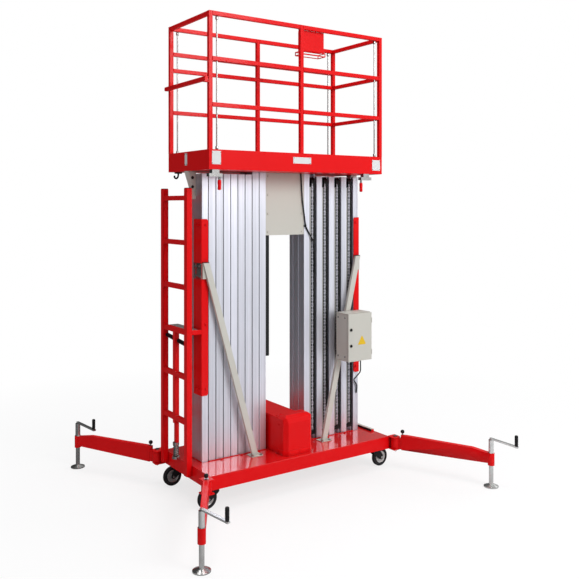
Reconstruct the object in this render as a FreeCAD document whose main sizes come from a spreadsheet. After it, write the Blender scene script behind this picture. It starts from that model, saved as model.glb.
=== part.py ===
# Twin bank mast lift: a push-around work platform on two banks of nested sections.
# Millimetres. X runs along the chassis, Y to the back, Z up from the floor.
import FreeCAD, Part
import math
import os
import re
import Sketcher

V = FreeCAD.Vector

# Driving sizes: name, value, what it is.
sizes = [
    ("chassisLength", 1700, "frame along X"),
    ("chassisWidth", 746, "frame along Y"),
    ("beamBottom", 158, "underside of the frame beams"),
    ("beamHeight", 99, "beam up to the deck plate"),
    ("beamWall", 30, "thickness of a frame beam"),
    ("crossDrop", 20, "cross beams above the frame's underside"),
    ("deckThickness", 6, "deck plate"),
    ("lipHeight", 16, "raised edge on the deck's right side"),
    ("lipLength", 470, "its length along Y"),
    ("lipWidth", 30, "its width"),
    ("casterInset", 85, "swivel axis from the frame's end"),
    ("casterAside", 88, "swivel axis from the frame's side"),
    ("casterPlateBottom", 200, "mounting plate's underside"),
    ("casterPlateSide", 150, "square mounting plate"),
    ("plateThickness", 8, "caster plate"),
    ("wheelRadius", 75, "caster wheel"),
    ("wheelWidth", 34, "caster wheel"),
    ("axleRadius", 6, "caster axle"),
    ("rimRecess", 6, "wheel disc inside the tyre's side"),
    ("rimRadius", 49, "wheel disc"),
    ("tyreShoulder", 7, "shoulder of the tyre"),
    ("trail", 60, "axle behind the swivel axis"),
    ("crownRadius", 42, "fork crown"),
    ("raceRadius", 26, "bearing over the crown"),
    ("crownGap", 8, "crown above the wheel"),
    ("crownThickness", 12, "fork crown"),
    ("forkWall", 5, "fork cheek"),
    ("forkGap", 5, "between wheel and cheek"),
    ("forkFront", 34, "cheek before the swivel axis"),
    ("forkBack", 26, "cheek behind the swivel axis"),
    ("forkEye", 15, "cheek round the axle"),
    ("axleEnd", 4, "axle past a cheek"),
    ("runningGap", 0.3, "between pieces that slide or rest"),
    ("pinGap", 0.05, "pin in its bore, on the radius"),
    ("hingeOut", 46, "outrigger pin past the frame's end"),
    ("hingeAside", 34, "outrigger pin past the frame's side"),
    ("hingePinRadius", 11, "outrigger pin"),
    ("pinHeadOver", 6, "head of the pin past its shank"),
    ("pinHeadHeight", 8, "head of the pin"),
    ("pinEnd", 4, "pin below the lower ear"),
    ("toolPast", 10, "length of a drill past the piece it goes through"),
    ("earThickness", 8, "ear above and below the barrel"),
    ("earRadius", 36, "end of an ear past the pin"),
    ("earRoot", 18, "ear along the end of the frame"),
    ("earCorner", 20, "cut corner of an ear"),
    ("barrelRadius", 38, "outrigger barrel"),
    ("armReach", 815, "pin to jack axis"),
    ("armWidth", 40, "box arm"),
    ("armStart", 62, "box starts this far from the pin"),
    ("armTop", 262, "top of the upper ears"),
    ("armRise", 22, "arm's top above the ears"),
    ("armTaper", 150, "slanted top before the jack"),
    ("armEndBottom", 186, "underside at the jack"),
    ("armSink", 5, "arm's foot below its barrel"),
    ("armUnder", 2, "arm's top below the ears' top"),
    ("neckShare", 0.5, "neck to barrel across"),
    ("sleeveRadius", 26, "jack sleeve on the arm"),
    ("sleeveBottom", 168, "its lower end"),
    ("sleeveRise", 2, "its upper end above the ears"),
    ("jackTubeRadius", 20, "plated tube through the sleeve"),
    ("jackTubeTop", 366, "its upper end"),
    ("jackCap", 10, "closed upper end of the tube"),
    ("legRadius", 17, "sliding leg"),
    ("legTop", 215, "leg's upper end with the pad down"),
    ("padRadius", 57, "foot pad"),
    ("padThickness", 8, "foot pad at its edge"),
    ("padRise", 16, "cone on the foot pad"),
    ("crankHubRadius", 12, "hub of the crank"),
    ("crankHubHeight", 14, "hub of the crank"),
    ("crankLength", 215, "crank arm"),
    ("crankDrop", 30, "how far the crank arm falls to its end"),
    ("crankWidth", 24, "crank arm"),
    ("crankThickness", 12, "crank arm"),
    ("gripLength", 88, "crank grip"),
    ("gripRadius", 11, "crank grip"),
    ("gripInset", 3, "grip from the crank arm's end"),
    ("armAngleFrontLeft", 59.5, "from the X axis"),
    ("armAngleFrontRight", 67, "from the X axis"),
    ("armAngleBackLeft", 61, "from the X axis"),
    ("armAngleBackRight", 63, "from the X axis"),
    ("crankHeading", -70.5, "way the cranks point"),
    ("mastFront", -80, "front face of both banks"),
    ("mastDepth", 210, "bank along Y"),
    ("mastTop", 2440, "top of the sliding sections"),
    ("bankInner", 187, "inner face of a bank from the middle"),
    ("bankInset", 92, "outer face of a bank from the frame's end"),
    ("sectionGap", 6, "between two sections"),
    ("baseWidth", 52, "fixed outer section"),
    ("ribGroove", 7, "groove between two ribs"),
    ("ribGrooveDepth", 9, "its depth"),
    ("chainRib", 55, "flange beside the chain channel"),
    ("chainLip", 8, "thin wall on its other side"),
    ("chainDepth", 60, "depth of the chain channel"),
    ("lipBack", 20, "thin wall behind the channel's mouth"),
    ("slotWall", 8, "wall at the mouth of a guide slot"),
    ("slotClear", 5, "room round a guide tongue"),
    ("tongueNeck", 24, "neck of a tongue along Y"),
    ("tongueHead", 48, "head of a tongue along Y"),
    ("tongueThickness", 10, "head of a tongue along X"),
    ("cellWall", 8, "walls round the hollow cell"),
    ("sheaveRadius", 27, "chain wheel"),
    ("sheaveWidth", 14, "chain wheel"),
    ("sheavePinRadius", 7, "its pin"),
    ("sheaveDrop", 36, "pin below the section's top"),
    ("chainWidth", 16, "leaf chain"),
    ("runInset", 1, "first chain from the thin wall"),
    ("runGap", 4, "between the two chains of a channel"),
    ("chainThickness", 9, "leaf chain"),
    ("chainFoot", 60, "lower end of the chain above the deck"),
    ("anchorHeight", 26, "block at the chain's lower end"),
    ("anchorStep", 4, "block past the back of the chain"),
    ("anchorOver", 6, "chain sunk into the block"),
    ("yokeWall", 3, "plates beside the chain wheels"),
    ("yokeTop", 34, "their width at the top along Y"),
    ("yokeWaist", 16, "their width at the lower end"),
    ("yokeDrop", 62, "their length below the pin"),
    ("yokeBar", 14, "bar that joins them"),
    ("channelTop", 2095, "red post channel"),
    ("channelBottom", 765, "red post channel"),
    ("channelWall", 7, "red post channel"),
    ("channelSide", 125, "its side along Y"),
    ("channelFlange", 58, "its front flange along X"),
    ("channelCorner", 12, "cut corners of the flange"),
    ("braceWidth", 50, "brace tube across"),
    ("braceDepth", 24, "brace tube"),
    ("braceOff", 2, "brace tube off the post channel"),
    ("braceTopInset", 23, "upper end from the bank's outer face"),
    ("braceTopZ", 1765, "upper end"),
    ("braceRun", 400, "from the upper to the lower end along X"),
    ("braceLug", 120, "plate at the upper end"),
    ("braceLugDepth", 14, "plate at the upper end"),
    ("braceLean", 2.0, "lean of the brace in degrees"),
    ("braceFootPlate", 100, "foot plate"),
    ("braceFootDepth", 84, "foot plate"),
    ("braceFootThickness", 6, "foot plate"),
    ("packLeft", -165, "power pack"),
    ("packRight", 58, "power pack"),
    ("packCoverRight", 102, "front cover"),
    ("packFront", -325, "front cover"),
    ("packCoverDepth", 120, "front cover"),
    ("packBack", 330, "power pack"),
    ("packTop", 545, "power pack"),
    ("packCoverTop", 568, "front cover"),
    ("packBevel", 30, "bevelled edges of the front cover"),
    ("packTopBevel", 40, "bevel over the front of the cover"),
    ("packSkirt", 38, "skirt round the front of the cover"),
    ("packSkirtStep", 4, "skirt in front of the cover"),
    ("ladderAside", 23, "ladder inside the frame's back side"),
    ("ladderWidth", 400, "between stile centres"),
    ("stileDeep", 44, "stile along X"),
    ("stileWide", 50, "stile along Y"),
    ("ladderBottom", 185, "ladder"),
    ("ladderTop", 2325, "ladder"),
    ("rungTop", 2270, "top of the highest rung"),
    ("rungPitch", 335, "rungs"),
    ("rungHeight", 34, "rungs"),
    ("rungDepth", 36, "rungs"),
    ("stepPostWidth", 40, "post between the lower rungs"),
    ("stepPostDrop", 60, "post below the lowest rung's top"),
    ("stayWidth", 30, "stay from the ladder to the mast"),
    ("stayAside", 10, "stay in front of the mast's front face"),
    ("boxInset", 265, "control box from the brace's upper end"),
    ("boxWidth", 247, "control box"),
    ("boxFront", -310, "control box"),
    ("boxBack", -148, "control box"),
    ("boxBottom", 914, "control box"),
    ("boxHeight", 392, "control box"),
    ("boxWall", 3, "control box"),
    ("boxFoot", 30, "height of the feet on the brace"),
    ("boxFootLow", 60, "feet from the box's lower and upper edge"),
    ("doorThickness", 18, "its door"),
    ("doorPinRadius", 4, "hinge of the door"),
    ("knuckleInset", 45, "hinge from the box's lower and upper edge"),
    ("knuckleLength", 40, "hinge of the door"),
    ("platformShort", 24, "platform's end inside the frame's end"),
    ("platformWidth", 668, "platform along Y"),
    ("platformMiddle", 18, "its centre along Y"),
    ("platformBottom", 2460, "underside"),
    ("toeHeight", 146, "toe board"),
    ("toeWall", 30, "toe board"),
    ("floorThickness", 40, "platform floor"),
    ("railTop", 1150, "top of the guardrail above the underside"),
    ("railUpper", 821, "upper middle rail"),
    ("railLower", 487, "lower middle rail"),
    ("railBack", 950, "extra rail at the back"),
    ("railEntry", 670, "entry bar"),
    ("railTube", 30, "rail tube"),
    ("rodInset", 72, "thin rods from the platform's ends"),
    ("rodRadius", 5, "thin rods"),
    ("entryPinRadius", 6, "pivot of the entry bar"),
    ("entryGap", 5, "between the entry bar and the posts"),
    ("hookThickness", 10, "rest under the entry bar"),
    ("bridgeBottom", 1960, "plate between the banks"),
    ("bridgeThickness", 10, "plate between the banks"),
    ("bridgeInset", 2, "behind the front of the banks"),
    ("caseLeft", 20, "case on the guardrail"),
    ("caseWidth", 215, "case on the guardrail"),
    ("caseDepth", 55, "case on the guardrail"),
    ("caseHeight", 160, "case on the guardrail"),
    ("clampInset", 58, "middle of the left clamp from the platform's end"),
    ("clampLength", 110, "clamp plate"),
    ("clampDepth", 40, "clamp plate"),
    ("clampThickness", 24, "clamp plate"),
    ("clampBlock", 60, "block over the clamp plate"),
    ("clampGap", 28, "its height"),
    ("clampDrop", 150, "lower end of the handle below the platform"),
    ("clampRadius", 9, "clamp handle"),
    ("clampAside", 41, "handle from the plate's middle"),
    ("guideBottom", 1000, "cable guide"),
    ("guideWidth", 40, "cable guide"),
    ("guideDepth", 36, "cable guide"),
    ("restReach", 70, "platform rests past the bank"),
    ("cordRadius", 5, "cords of the platform and the control box"),
    ("cordGap", 2, "cord in front of the mast"),
    ("platformBend", 100, "bends of the platform's cord"),
    ("boxBend", 50, "bends of the control box's cord"),
    ("restWidth", 60, "platform rests"),
    ("restDrop", 215, "platform rests"),
]

# Sizes that follow from them.
derived = [
    ("casterX", "chassisLength / 2 - casterInset", "swivel axis from the middle"),
    ("casterY", "chassisWidth / 2 - casterAside", "swivel axis from the middle"),
    ("hingeX", "chassisLength / 2 + hingeOut", "outrigger pin from the middle"),
    ("hingeY", "chassisWidth / 2 + hingeAside", "outrigger pin from the middle"),
    ("ladderX", "-chassisLength / 2", "inner side of the ladder"),
    ("ladderMiddle", "(chassisWidth - ladderWidth - stileWide) / 2 - ladderAside", "its centre along Y"),
    ("bankOuter", "chassisLength / 2 - bankInset", "outer face of a bank from the middle"),
    ("platformLength", "chassisLength - 2 * platformShort", "platform along X"),
    ("bankStart", "sectionGap + baseWidth - bankOuter", "where the left bank's sliding sections start"),
    ("sectionPitch", "(bankOuter - baseWidth - bankInner) / 4", "from one section to the next"),
    ("braceTopX", "bankOuter - braceTopInset", "upper end of a brace"),
    ("braceFootX", "braceTopX - braceRun", "lower end of a brace"),
    ("boxLeft", "braceTopX - boxInset", "control box"),
]
names = {name for name, value, note in sizes + derived}

doc = FreeCAD.newDocument("MastLift")
sheet = doc.addObject("Spreadsheet::Sheet", "sheet")
for row, (name, value, note) in enumerate(sizes + derived, start=1):
    sheet.set(f"A{row}", name)
    sheet.set(f"B{row}", "=" + value if isinstance(value, str) else str(value))
    sheet.setAlias(f"B{row}", name)
    sheet.set(f"C{row}", note)
doc.recompute()

nodes = []


def bind(text):
    """An expression in which every size name points at its cell."""
    return re.sub(r"[A-Za-z]+", lambda word: cell(word.group()), str(text))


def cell(word):
    return "sheet." + word if word in names else word


def place(obj, x="0", y="0", z="0", turn=None, axis=(0, 0, 1)):
    if turn is not None:
        obj.Placement = FreeCAD.Placement(V(0, 0, 0), FreeCAD.Rotation(V(*axis), 1))
        obj.setExpression("Placement.Rotation.Angle", bind(turn))
    for letter, text in (("x", x), ("y", y), ("z", z)):
        obj.setExpression("Placement.Base." + letter, bind(text))
    return obj


def keep(obj, label):
    """Names a finished sub-part: one node, one file."""
    obj.Label = label
    nodes.append(obj)
    return obj


def box(x, y, z, dx, dy, dz):
    obj = doc.addObject("Part::Box", "box")
    obj.setExpression("Length", bind(dx))
    obj.setExpression("Width", bind(dy))
    obj.setExpression("Height", bind(dz))
    return place(obj, x, y, z)


def rod(x, y, z, radius, length, along="Z"):
    """A round bar that starts at x, y, z and runs along +X, +Y or +Z."""
    obj = doc.addObject("Part::Cylinder", "rod")
    obj.setExpression("Radius", bind(radius))
    obj.setExpression("Height", bind(length))
    turns = {"X": ((0, 1, 0), "90"), "Y": ((1, 0, 0), "-90")}
    if along in turns:
        axis, turn = turns[along]
        return place(obj, x, y, z, turn, axis)
    return place(obj, x, y, z)


def fuse(parts):
    obj = doc.addObject("Part::MultiFuse", "fuse")
    obj.Shapes = parts
    obj.Refine = True
    return obj


def cut(base, tools):
    obj = doc.addObject("Part::Cut", "cut")
    obj.Base = base
    obj.Tool = tools[0] if len(tools) == 1 else fuse(tools)
    obj.Refine = True
    return obj


def common(parts):
    obj = doc.addObject("Part::MultiCommon", "common")
    obj.Shapes = parts
    obj.Refine = True
    return obj


def group(parts):
    """Several solids of one node that don't touch."""
    obj = doc.addObject("Part::Compound", "group")
    obj.Links = parts
    return obj


def originPlane(body, role):
    return next(o for o in body.Origin.OriginFeatures if o.Role == role)


def polygonSketch(body, role, loops):
    """Closed outlines whose corners are expressions, each held by two distances."""
    sketch = body.newObject("Sketcher::SketchObject", "outline")
    sketch.AttachmentSupport = [(originPlane(body, role), "")]
    sketch.MapMode = "FlatFace"
    for number, loop in enumerate(loops):
        count = len(loop)
        first = sketch.GeometryCount
        spread = 100 - 60 * number
        corner = [V(spread * math.cos(2 * math.pi * i / count), spread * math.sin(2 * math.pi * i / count), 0)
                  for i in range(count)]
        for i in range(count):
            sketch.addGeometry(Part.LineSegment(corner[i], corner[(i + 1) % count]), False)
        for i in range(count):
            sketch.addConstraint(Sketcher.Constraint(
                "Coincident", first + i, 2, first + (i + 1) % count, 1))
        for i, (across, up) in enumerate(loop):
            for kind, text, start in (("DistanceX", across, corner[i].x), ("DistanceY", up, corner[i].y)):
                index = sketch.addConstraint(Sketcher.Constraint(kind, -1, 1, first + i, 1, start))
                sketch.setExpression(f"Constraints[{index}]", bind(text))
    return sketch


def extruded(role, loops, length, reverse=False, middle=False):
    body = doc.addObject("PartDesign::Body", "body")
    sketch = polygonSketch(body, role, loops)
    pad = body.newObject("PartDesign::Pad", "pad")
    pad.Profile = sketch
    pad.setExpression("Length", bind(length))
    pad.Reversed = reverse
    pad.Midplane = middle
    body.Tip = pad
    return body


def revolved(role, loop, axis):
    body = doc.addObject("PartDesign::Body", "body")
    sketch = polygonSketch(body, role, [loop])
    turn = body.newObject("PartDesign::Revolution", "turn")
    turn.Profile = sketch
    turn.ReferenceAxis = (sketch, [axis])
    turn.Angle = 360
    body.Tip = turn
    return body


def cord(points, radius, bend, label):
    """A round cord: straight runs between the points and tangent arcs at the corners."""
    route = [V(*[float(sheet.evalExpression(bind(text))) for text in point]) for point in points]
    radius, bend = (float(sheet.evalExpression(bind(text))) for text in (radius, bend))
    edges = []
    start = route[0]
    for before, corner, after in zip(route, route[1:], route[2:]):
        inward = (before - corner).normalize()
        onward = (after - corner).normalize()
        angle = inward.getAngle(onward)
        away = bend / math.tan(angle / 2)
        middle = (inward + onward).normalize() * (bend / math.sin(angle / 2) - bend)
        first, last = corner + inward * away, corner + onward * away
        edges.append(Part.LineSegment(start, first).toShape())
        edges.append(Part.Arc(first, corner + middle, last).toShape())
        start = last
    edges.append(Part.LineSegment(start, route[-1]).toShape())
    ring = Part.Wire([Part.makeCircle(radius, route[0], route[1] - route[0])])
    obj = doc.addObject("Part::Feature", "cord")
    obj.Shape = Part.Wire(edges).makePipeShell([ring], True, False)
    keep(obj, label)


# Corners: name, side along X, side along Y, heading of the arm, heading of the crank.
corners = [
    ("fl", -1, -1, "180 + armAngleFrontLeft", "crankHeading"),
    ("fr", 1, -1, "0 - armAngleFrontRight", "crankHeading"),
    ("bl", -1, 1, "180 - armAngleBackLeft", "crankHeading"),
    ("br", 1, 1, "armAngleBackRight", "crankHeading + 180"),
]

deckBottom = "(beamBottom + beamHeight)"
deckTop = "(beamBottom + beamHeight + deckThickness)"


def chassisFrame():
    """Four beams, two cross beams, caster plates and the ears of the outriggers."""
    half, wide = "chassisLength / 2", "chassisWidth / 2"
    parts = [
        box(f"-{half}", f"-{wide}", "beamBottom", "chassisLength", "beamWall", "beamHeight"),
        box(f"-{half}", f"{wide} - beamWall", "beamBottom", "chassisLength", "beamWall", "beamHeight"),
        box(f"-{half}", f"-{wide}", "beamBottom", "beamWall", "chassisWidth", "beamHeight"),
        box(f"{half} - beamWall", f"-{wide}", "beamBottom", "beamWall", "chassisWidth", "beamHeight"),
    ]
    for side in (-1, 1):
        parts.append(box(f"{side} * bankInner - beamWall / 2", f"-{wide}", "beamBottom + crossDrop",
                         "beamWall", "chassisWidth", "beamHeight - crossDrop"))
    for name, sideX, sideY, heading, crank in corners:
        parts.append(box(f"{sideX} * ({half} - casterPlateSide / 2) - casterPlateSide / 2",
                         f"{sideY} * ({wide} - casterPlateSide / 2) - casterPlateSide / 2",
                         "casterPlateBottom", "casterPlateSide", "casterPlateSide", "plateThickness"))
        earX = "(hingeOut + earRadius)"
        earY = "(hingeAside + earRadius + earRoot)"
        plan = [
            ("0", "0"), (earX, "0"), (earX, f"{earY} - earCorner"),
            (f"{earX} - earCorner", earY), ("0", earY),
        ]
        plan = [(f"{sideX} * ({across})", f"{sideY} * ({up})") for across, up in plan]
        for bottom in ("beamBottom", "armTop - earThickness"):
            plate = extruded("XY_Plane", [plan], "earThickness")
            parts.append(place(plate, f"{sideX} * {half}", f"{sideY} * ({wide} - earRoot)", bottom))
        parts.append(box(f"{sideX} * ({half} + earThickness / 2) - earThickness / 2",
                         f"{sideY} * ({wide} - earRoot / 2) - earRoot / 2",
                         "beamBottom", "earThickness", "earRoot", "armTop - beamBottom"))
    frame = fuse(parts)
    holes = [rod(f"{sideX} * hingeX", f"{sideY} * hingeY", "beamBottom - toolPast",
                 "hingePinRadius", "armTop - beamBottom + 2 * toolPast")
             for name, sideX, sideY, heading, crank in corners]
    keep(cut(frame, holes), "chassis_frame")
    pins = []
    for name, sideX, sideY, heading, crank in corners:
        shank = rod(f"{sideX} * hingeX", f"{sideY} * hingeY", "beamBottom - pinEnd",
                    "hingePinRadius", "armTop - beamBottom + pinEnd + pinHeadHeight / 2")
        head = rod(f"{sideX} * hingeX", f"{sideY} * hingeY", "armTop",
                   "hingePinRadius + pinHeadOver", "pinHeadHeight")
        pins.append(fuse([shank, head]))
    keep(group(pins), "hinge_pins")


def deckPlate():
    half, wide = "chassisLength / 2", "chassisWidth / 2"
    plate = box(f"-{half}", f"-{wide}", deckBottom, "chassisLength", "chassisWidth", "deckThickness")
    lip = box(f"{half} - lipWidth", f"{wide} - lipLength", deckTop, "lipWidth", "lipLength", "lipHeight")
    keep(fuse([plate, lip]), "deck_plate")


def casters():
    crownBottom = "(2 * wheelRadius + crownGap - 2)"
    cheek = "(wheelWidth / 2 + forkGap)"
    for name, sideX, sideY, heading, crank in corners:
        crown = rod("0", "0", crownBottom, "crownRadius", "crownThickness")
        race = rod("0", "0", crownBottom, "raceRadius",
                   f"casterPlateBottom - runningGap - {crownBottom}")
        leg = [
            ("0 - forkBack", f"{crownBottom} + crownThickness"),
            ("forkFront", f"{crownBottom} + crownThickness"),
            ("forkFront", crownBottom),
            ("trail + forkEye", "wheelRadius + forkEye"),
            ("trail + forkEye", "wheelRadius - forkEye"),
            ("trail - forkEye", "wheelRadius - forkEye"),
            ("0 - forkBack", "wheelRadius + crownRadius"),
        ]
        cheeks = []
        for side in (-1, 1):
            plate = extruded("XZ_Plane", [leg], "forkWall", middle=True)
            place(plate, "0", f"{side} * ({cheek} + forkWall / 2)", "0")
            cheeks.append(plate)
        axle = rod("trail", f"-{cheek} - forkWall - axleEnd", "wheelRadius", "axleRadius",
                   f"2 * ({cheek} + forkWall + axleEnd)", "Y")
        fork = fuse([crown, race, axle] + cheeks)
        turn = "0" if sideX > 0 else "180"
        place(fork, f"{sideX} * casterX", f"{sideY} * casterY", "0", turn)
        keep(fork, "caster_fork_" + name)
        right = [
            ("wheelWidth / 2 - rimRecess", "axleRadius + pinGap"),
            ("wheelWidth / 2 - rimRecess", "rimRadius"),
            ("wheelWidth / 2", "wheelRadius - tyreShoulder"),
            ("wheelWidth / 2 - tyreShoulder", "wheelRadius"),
        ]
        rim = right + [(f"0 - ({across})", up) for across, up in reversed(right)]
        wheel = revolved("YZ_Plane", rim, "H_Axis")
        place(wheel, f"{sideX} * (casterX + trail)", f"{sideY} * casterY", "wheelRadius")
        keep(wheel, "caster_wheel_" + name)


def outriggers():
    """Tapered box arm on a barrel, with the jack through a sleeve at its end."""
    barrelBottom = "(beamBottom + earThickness + runningGap)"
    barrelTop = "(armTop - earThickness - runningGap)"
    for name, sideX, sideY, heading, crank in corners:
        side = [
            ("armStart", f"{barrelBottom} - armSink"),
            ("armReach", "armEndBottom"),
            ("armReach", "armTop - armUnder"),
            ("armReach - armTaper", "armTop + armRise"),
            ("armStart + armRise", "armTop + armRise"),
            ("armStart", "armTop - armUnder"),
        ]
        arm = extruded("XZ_Plane", [side], "armWidth", middle=True)
        neck = box("0", "0 - barrelRadius * neckShare", barrelBottom, "armStart + armSink",
                   "2 * barrelRadius * neckShare", f"{barrelTop} - {barrelBottom}")
        barrel = rod("0", "0", barrelBottom, "barrelRadius", f"{barrelTop} - {barrelBottom}")
        sleeve = rod("armReach", "0", "sleeveBottom", "sleeveRadius", "armTop - sleeveBottom + sleeveRise")
        bore = rod("0", "0", "beamBottom - toolPast", "hingePinRadius + pinGap",
                   "armTop - beamBottom + 2 * toolPast")
        hole = rod("armReach", "0", "sleeveBottom - toolPast", "jackTubeRadius",
                   "armTop - sleeveBottom + 2 * toolPast")
        whole = cut(fuse([arm, neck, barrel, sleeve]), [bore, hole])
        place(whole, f"{sideX} * hingeX", f"{sideY} * hingeY", "0", heading)
        keep(whole, "outrigger_arm_" + name)
        footX = f"{sideX} * hingeX + armReach * cos({heading})"
        footY = f"{sideY} * hingeY + armReach * sin({heading})"
        tube = cut(rod("0", "0", "sleeveBottom", "jackTubeRadius", "jackTubeTop - sleeveBottom"),
                   [rod("0", "0", "sleeveBottom - toolPast", "legRadius + runningGap",
                        "jackTubeTop - sleeveBottom + toolPast - jackCap")])
        hub = rod("0", "0", "jackTubeTop", "crankHubRadius", "crankHubHeight")
        rise = "(jackTubeTop + crankHubHeight - crankThickness)"
        lever = extruded("XZ_Plane", [[
            ("0", rise), ("crankLength", f"{rise} - crankDrop"),
            ("crankLength", f"{rise} - crankDrop + crankThickness"), ("0", f"{rise} + crankThickness"),
        ]], "crankWidth", middle=True)
        grip = rod("crankLength - gripRadius - gripInset", "0", f"{rise} - crankDrop",
                   "gripRadius", "gripLength")
        head = fuse([tube, hub, lever, grip])
        place(head, footX, footY, "0", crank)
        keep(head, "jack_head_" + name)
        foot = revolved("XZ_Plane", [
            ("0", "0"), ("padRadius", "0"), ("padRadius", "padThickness"),
            ("legRadius", "padThickness + padRise"), ("legRadius", "legTop"), ("0", "legTop"),
        ], "V_Axis")
        place(foot, footX, footY, "0")
        keep(foot, "jack_leg_" + name)


sectionWide = "(sectionPitch - sectionGap)"
slotDeep = "(2 * slotClear + tongueThickness)"
neckLong = "(sectionGap + slotWall + slotClear)"


def tongue(face):
    """The T of a guide tongue on the side at face, going up along Y."""
    middle = "mastDepth / 2"
    return [
        (face, f"{middle} - tongueNeck / 2"),
        (f"{face} + {neckLong}", f"{middle} - tongueNeck / 2"),
        (f"{face} + {neckLong}", f"{middle} - tongueHead / 2"),
        (f"{face} + {neckLong} + tongueThickness", f"{middle} - tongueHead / 2"),
        (f"{face} + {neckLong} + tongueThickness", f"{middle} + tongueHead / 2"),
        (f"{face} + {neckLong}", f"{middle} + tongueHead / 2"),
        (f"{face} + {neckLong}", f"{middle} + tongueNeck / 2"),
        (face, f"{middle} + tongueNeck / 2"),
    ]


def slidingSection(last):
    """Two ribs in front, a chain channel behind, a guide slot outside and a tongue inside."""
    middle = "mastDepth / 2"
    groove = f"{sectionWide} / 2"
    outline = [
        ("0", "0"),
        (f"{groove} - ribGroove / 2", "0"),
        (f"{groove} - ribGroove / 2", "ribGrooveDepth"),
        (f"{groove} + ribGroove / 2", "ribGrooveDepth"),
        (f"{groove} + ribGroove / 2", "0"),
        (sectionWide, "0"),
    ]
    if last:
        for low in ("mastDepth * 0.22", "mastDepth * 0.6"):
            outline += [
                (sectionWide, low),
                (f"{sectionWide} - ribGrooveDepth / 2", low),
                (f"{sectionWide} - ribGrooveDepth / 2", f"{low} + tongueNeck"),
                (sectionWide, f"{low} + tongueNeck"),
            ]
    else:
        outline += tongue(sectionWide)
    outline += [
        (sectionWide, "mastDepth"),
        (f"{sectionWide} - chainRib", "mastDepth"),
        (f"{sectionWide} - chainRib", "mastDepth - chainDepth"),
        ("chainLip", "mastDepth - chainDepth"),
        ("chainLip", "mastDepth - lipBack"),
        ("0", "mastDepth - lipBack"),
        ("0", f"{middle} + tongueNeck / 2 + slotClear"),
        ("slotWall", f"{middle} + tongueNeck / 2 + slotClear"),
        ("slotWall", f"{middle} + tongueHead / 2 + slotClear"),
        (f"slotWall + {slotDeep}", f"{middle} + tongueHead / 2 + slotClear"),
        (f"slotWall + {slotDeep}", f"{middle} - tongueHead / 2 - slotClear"),
        ("slotWall", f"{middle} - tongueHead / 2 - slotClear"),
        ("slotWall", f"{middle} - tongueNeck / 2 - slotClear"),
        ("0", f"{middle} - tongueNeck / 2 - slotClear"),
    ]
    hollow = [
        (f"slotWall + {slotDeep} + cellWall", "ribGrooveDepth + cellWall"),
        (f"{sectionWide} - cellWall", "ribGrooveDepth + cellWall"),
        (f"{sectionWide} - cellWall", "mastDepth - chainDepth - cellWall"),
        (f"slotWall + {slotDeep} + cellWall", "mastDepth - chainDepth - cellWall"),
    ]
    return [outline, hollow]


def chainRun():
    """Two chain wheels on one pin, a run of chain below each and their anchor block."""
    room = f"({sectionWide} - chainRib - chainLip)"
    pinY = "mastDepth - chainDepth / 2"
    pinZ = "mastTop - sheaveDrop"
    face = f"({pinY} + sheaveRadius)"
    side = [
        ("0 - yokeTop / 2", "sheaveDrop / 2"),
        ("yokeTop / 2", "sheaveDrop / 2"),
        ("yokeTop / 2", "0 - sheaveRadius / 2"),
        ("yokeWaist / 2", "0 - yokeDrop"),
        ("0 - yokeWaist / 2", "0 - yokeDrop"),
        ("0 - yokeTop / 2", "0 - sheaveRadius / 2"),
    ]
    parts = [
        rod("chainLip", pinY, pinZ, "sheavePinRadius", room, "X"),
        box("chainLip", f"{pinY} - yokeWaist / 2", f"{pinZ} - yokeDrop", room, "yokeWaist", "yokeBar"),
        box("chainLip", f"{face} - chainThickness - anchorStep",
            f"{deckTop} + chainFoot - anchorHeight + anchorOver",
            room, "chainThickness + anchorStep", "anchorHeight"),
    ]
    for run in range(2):
        across = f"(chainLip + runInset + chainWidth / 2 + {run} * (chainWidth + runGap))"
        parts.append(rod(f"{across} - sheaveWidth / 2", pinY, pinZ, "sheaveRadius", "sheaveWidth", "X"))
        parts.append(box(f"{across} - chainWidth / 2", f"{face} - chainThickness", f"{deckTop} + chainFoot",
                         "chainWidth", "chainThickness", f"{pinZ} - {deckTop} - chainFoot"))
        plate = extruded("YZ_Plane", [side], "yokeWall", middle=True)
        parts.append(place(plate, f"{across} + (chainWidth + runGap) / 2", pinY, pinZ))
    return fuse(parts)


def mast():
    """Two banks: the left one as drawn, the right one turned half round."""
    foot = f"({deckTop} + runningGap)"
    tall = f"mastTop - {foot}"
    base = []
    for name, side, turn in (("left", 1, "0"), ("right", -1, "180")):
        y = "mastFront" if side > 0 else "mastFront + mastDepth"
        plan = [("0", "0"), ("baseWidth", "0")] + tongue("baseWidth")
        plan += [("baseWidth", "mastDepth"), ("0", "mastDepth")]
        fixed = extruded("XY_Plane", [plan], f"mastTop - {deckTop}")
        place(fixed, f"0 - {side} * bankOuter", y, deckTop, turn)
        base.append(fixed)
        for step in range(4):
            body = extruded("XY_Plane", slidingSection(step == 3),
                            tall if step < 3 else f"platformBottom - {foot}")
            place(body, f"{side} * (bankStart + {step} * sectionPitch)", y, foot, turn)
            keep(body, f"mast_section_{name}_{step + 2}")
    keep(group(base), "mast_base_sections")
    for step in range(4):
        runs = []
        for side, turn in ((1, "0"), (-1, "180")):
            y = "mastFront" if side > 0 else "mastFront + mastDepth"
            run = chainRun()
            runs.append(place(run, f"{side} * (bankStart + {step} * sectionPitch)", y, "0", turn))
        keep(group(runs), f"lift_chains_{step + 2}")


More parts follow.
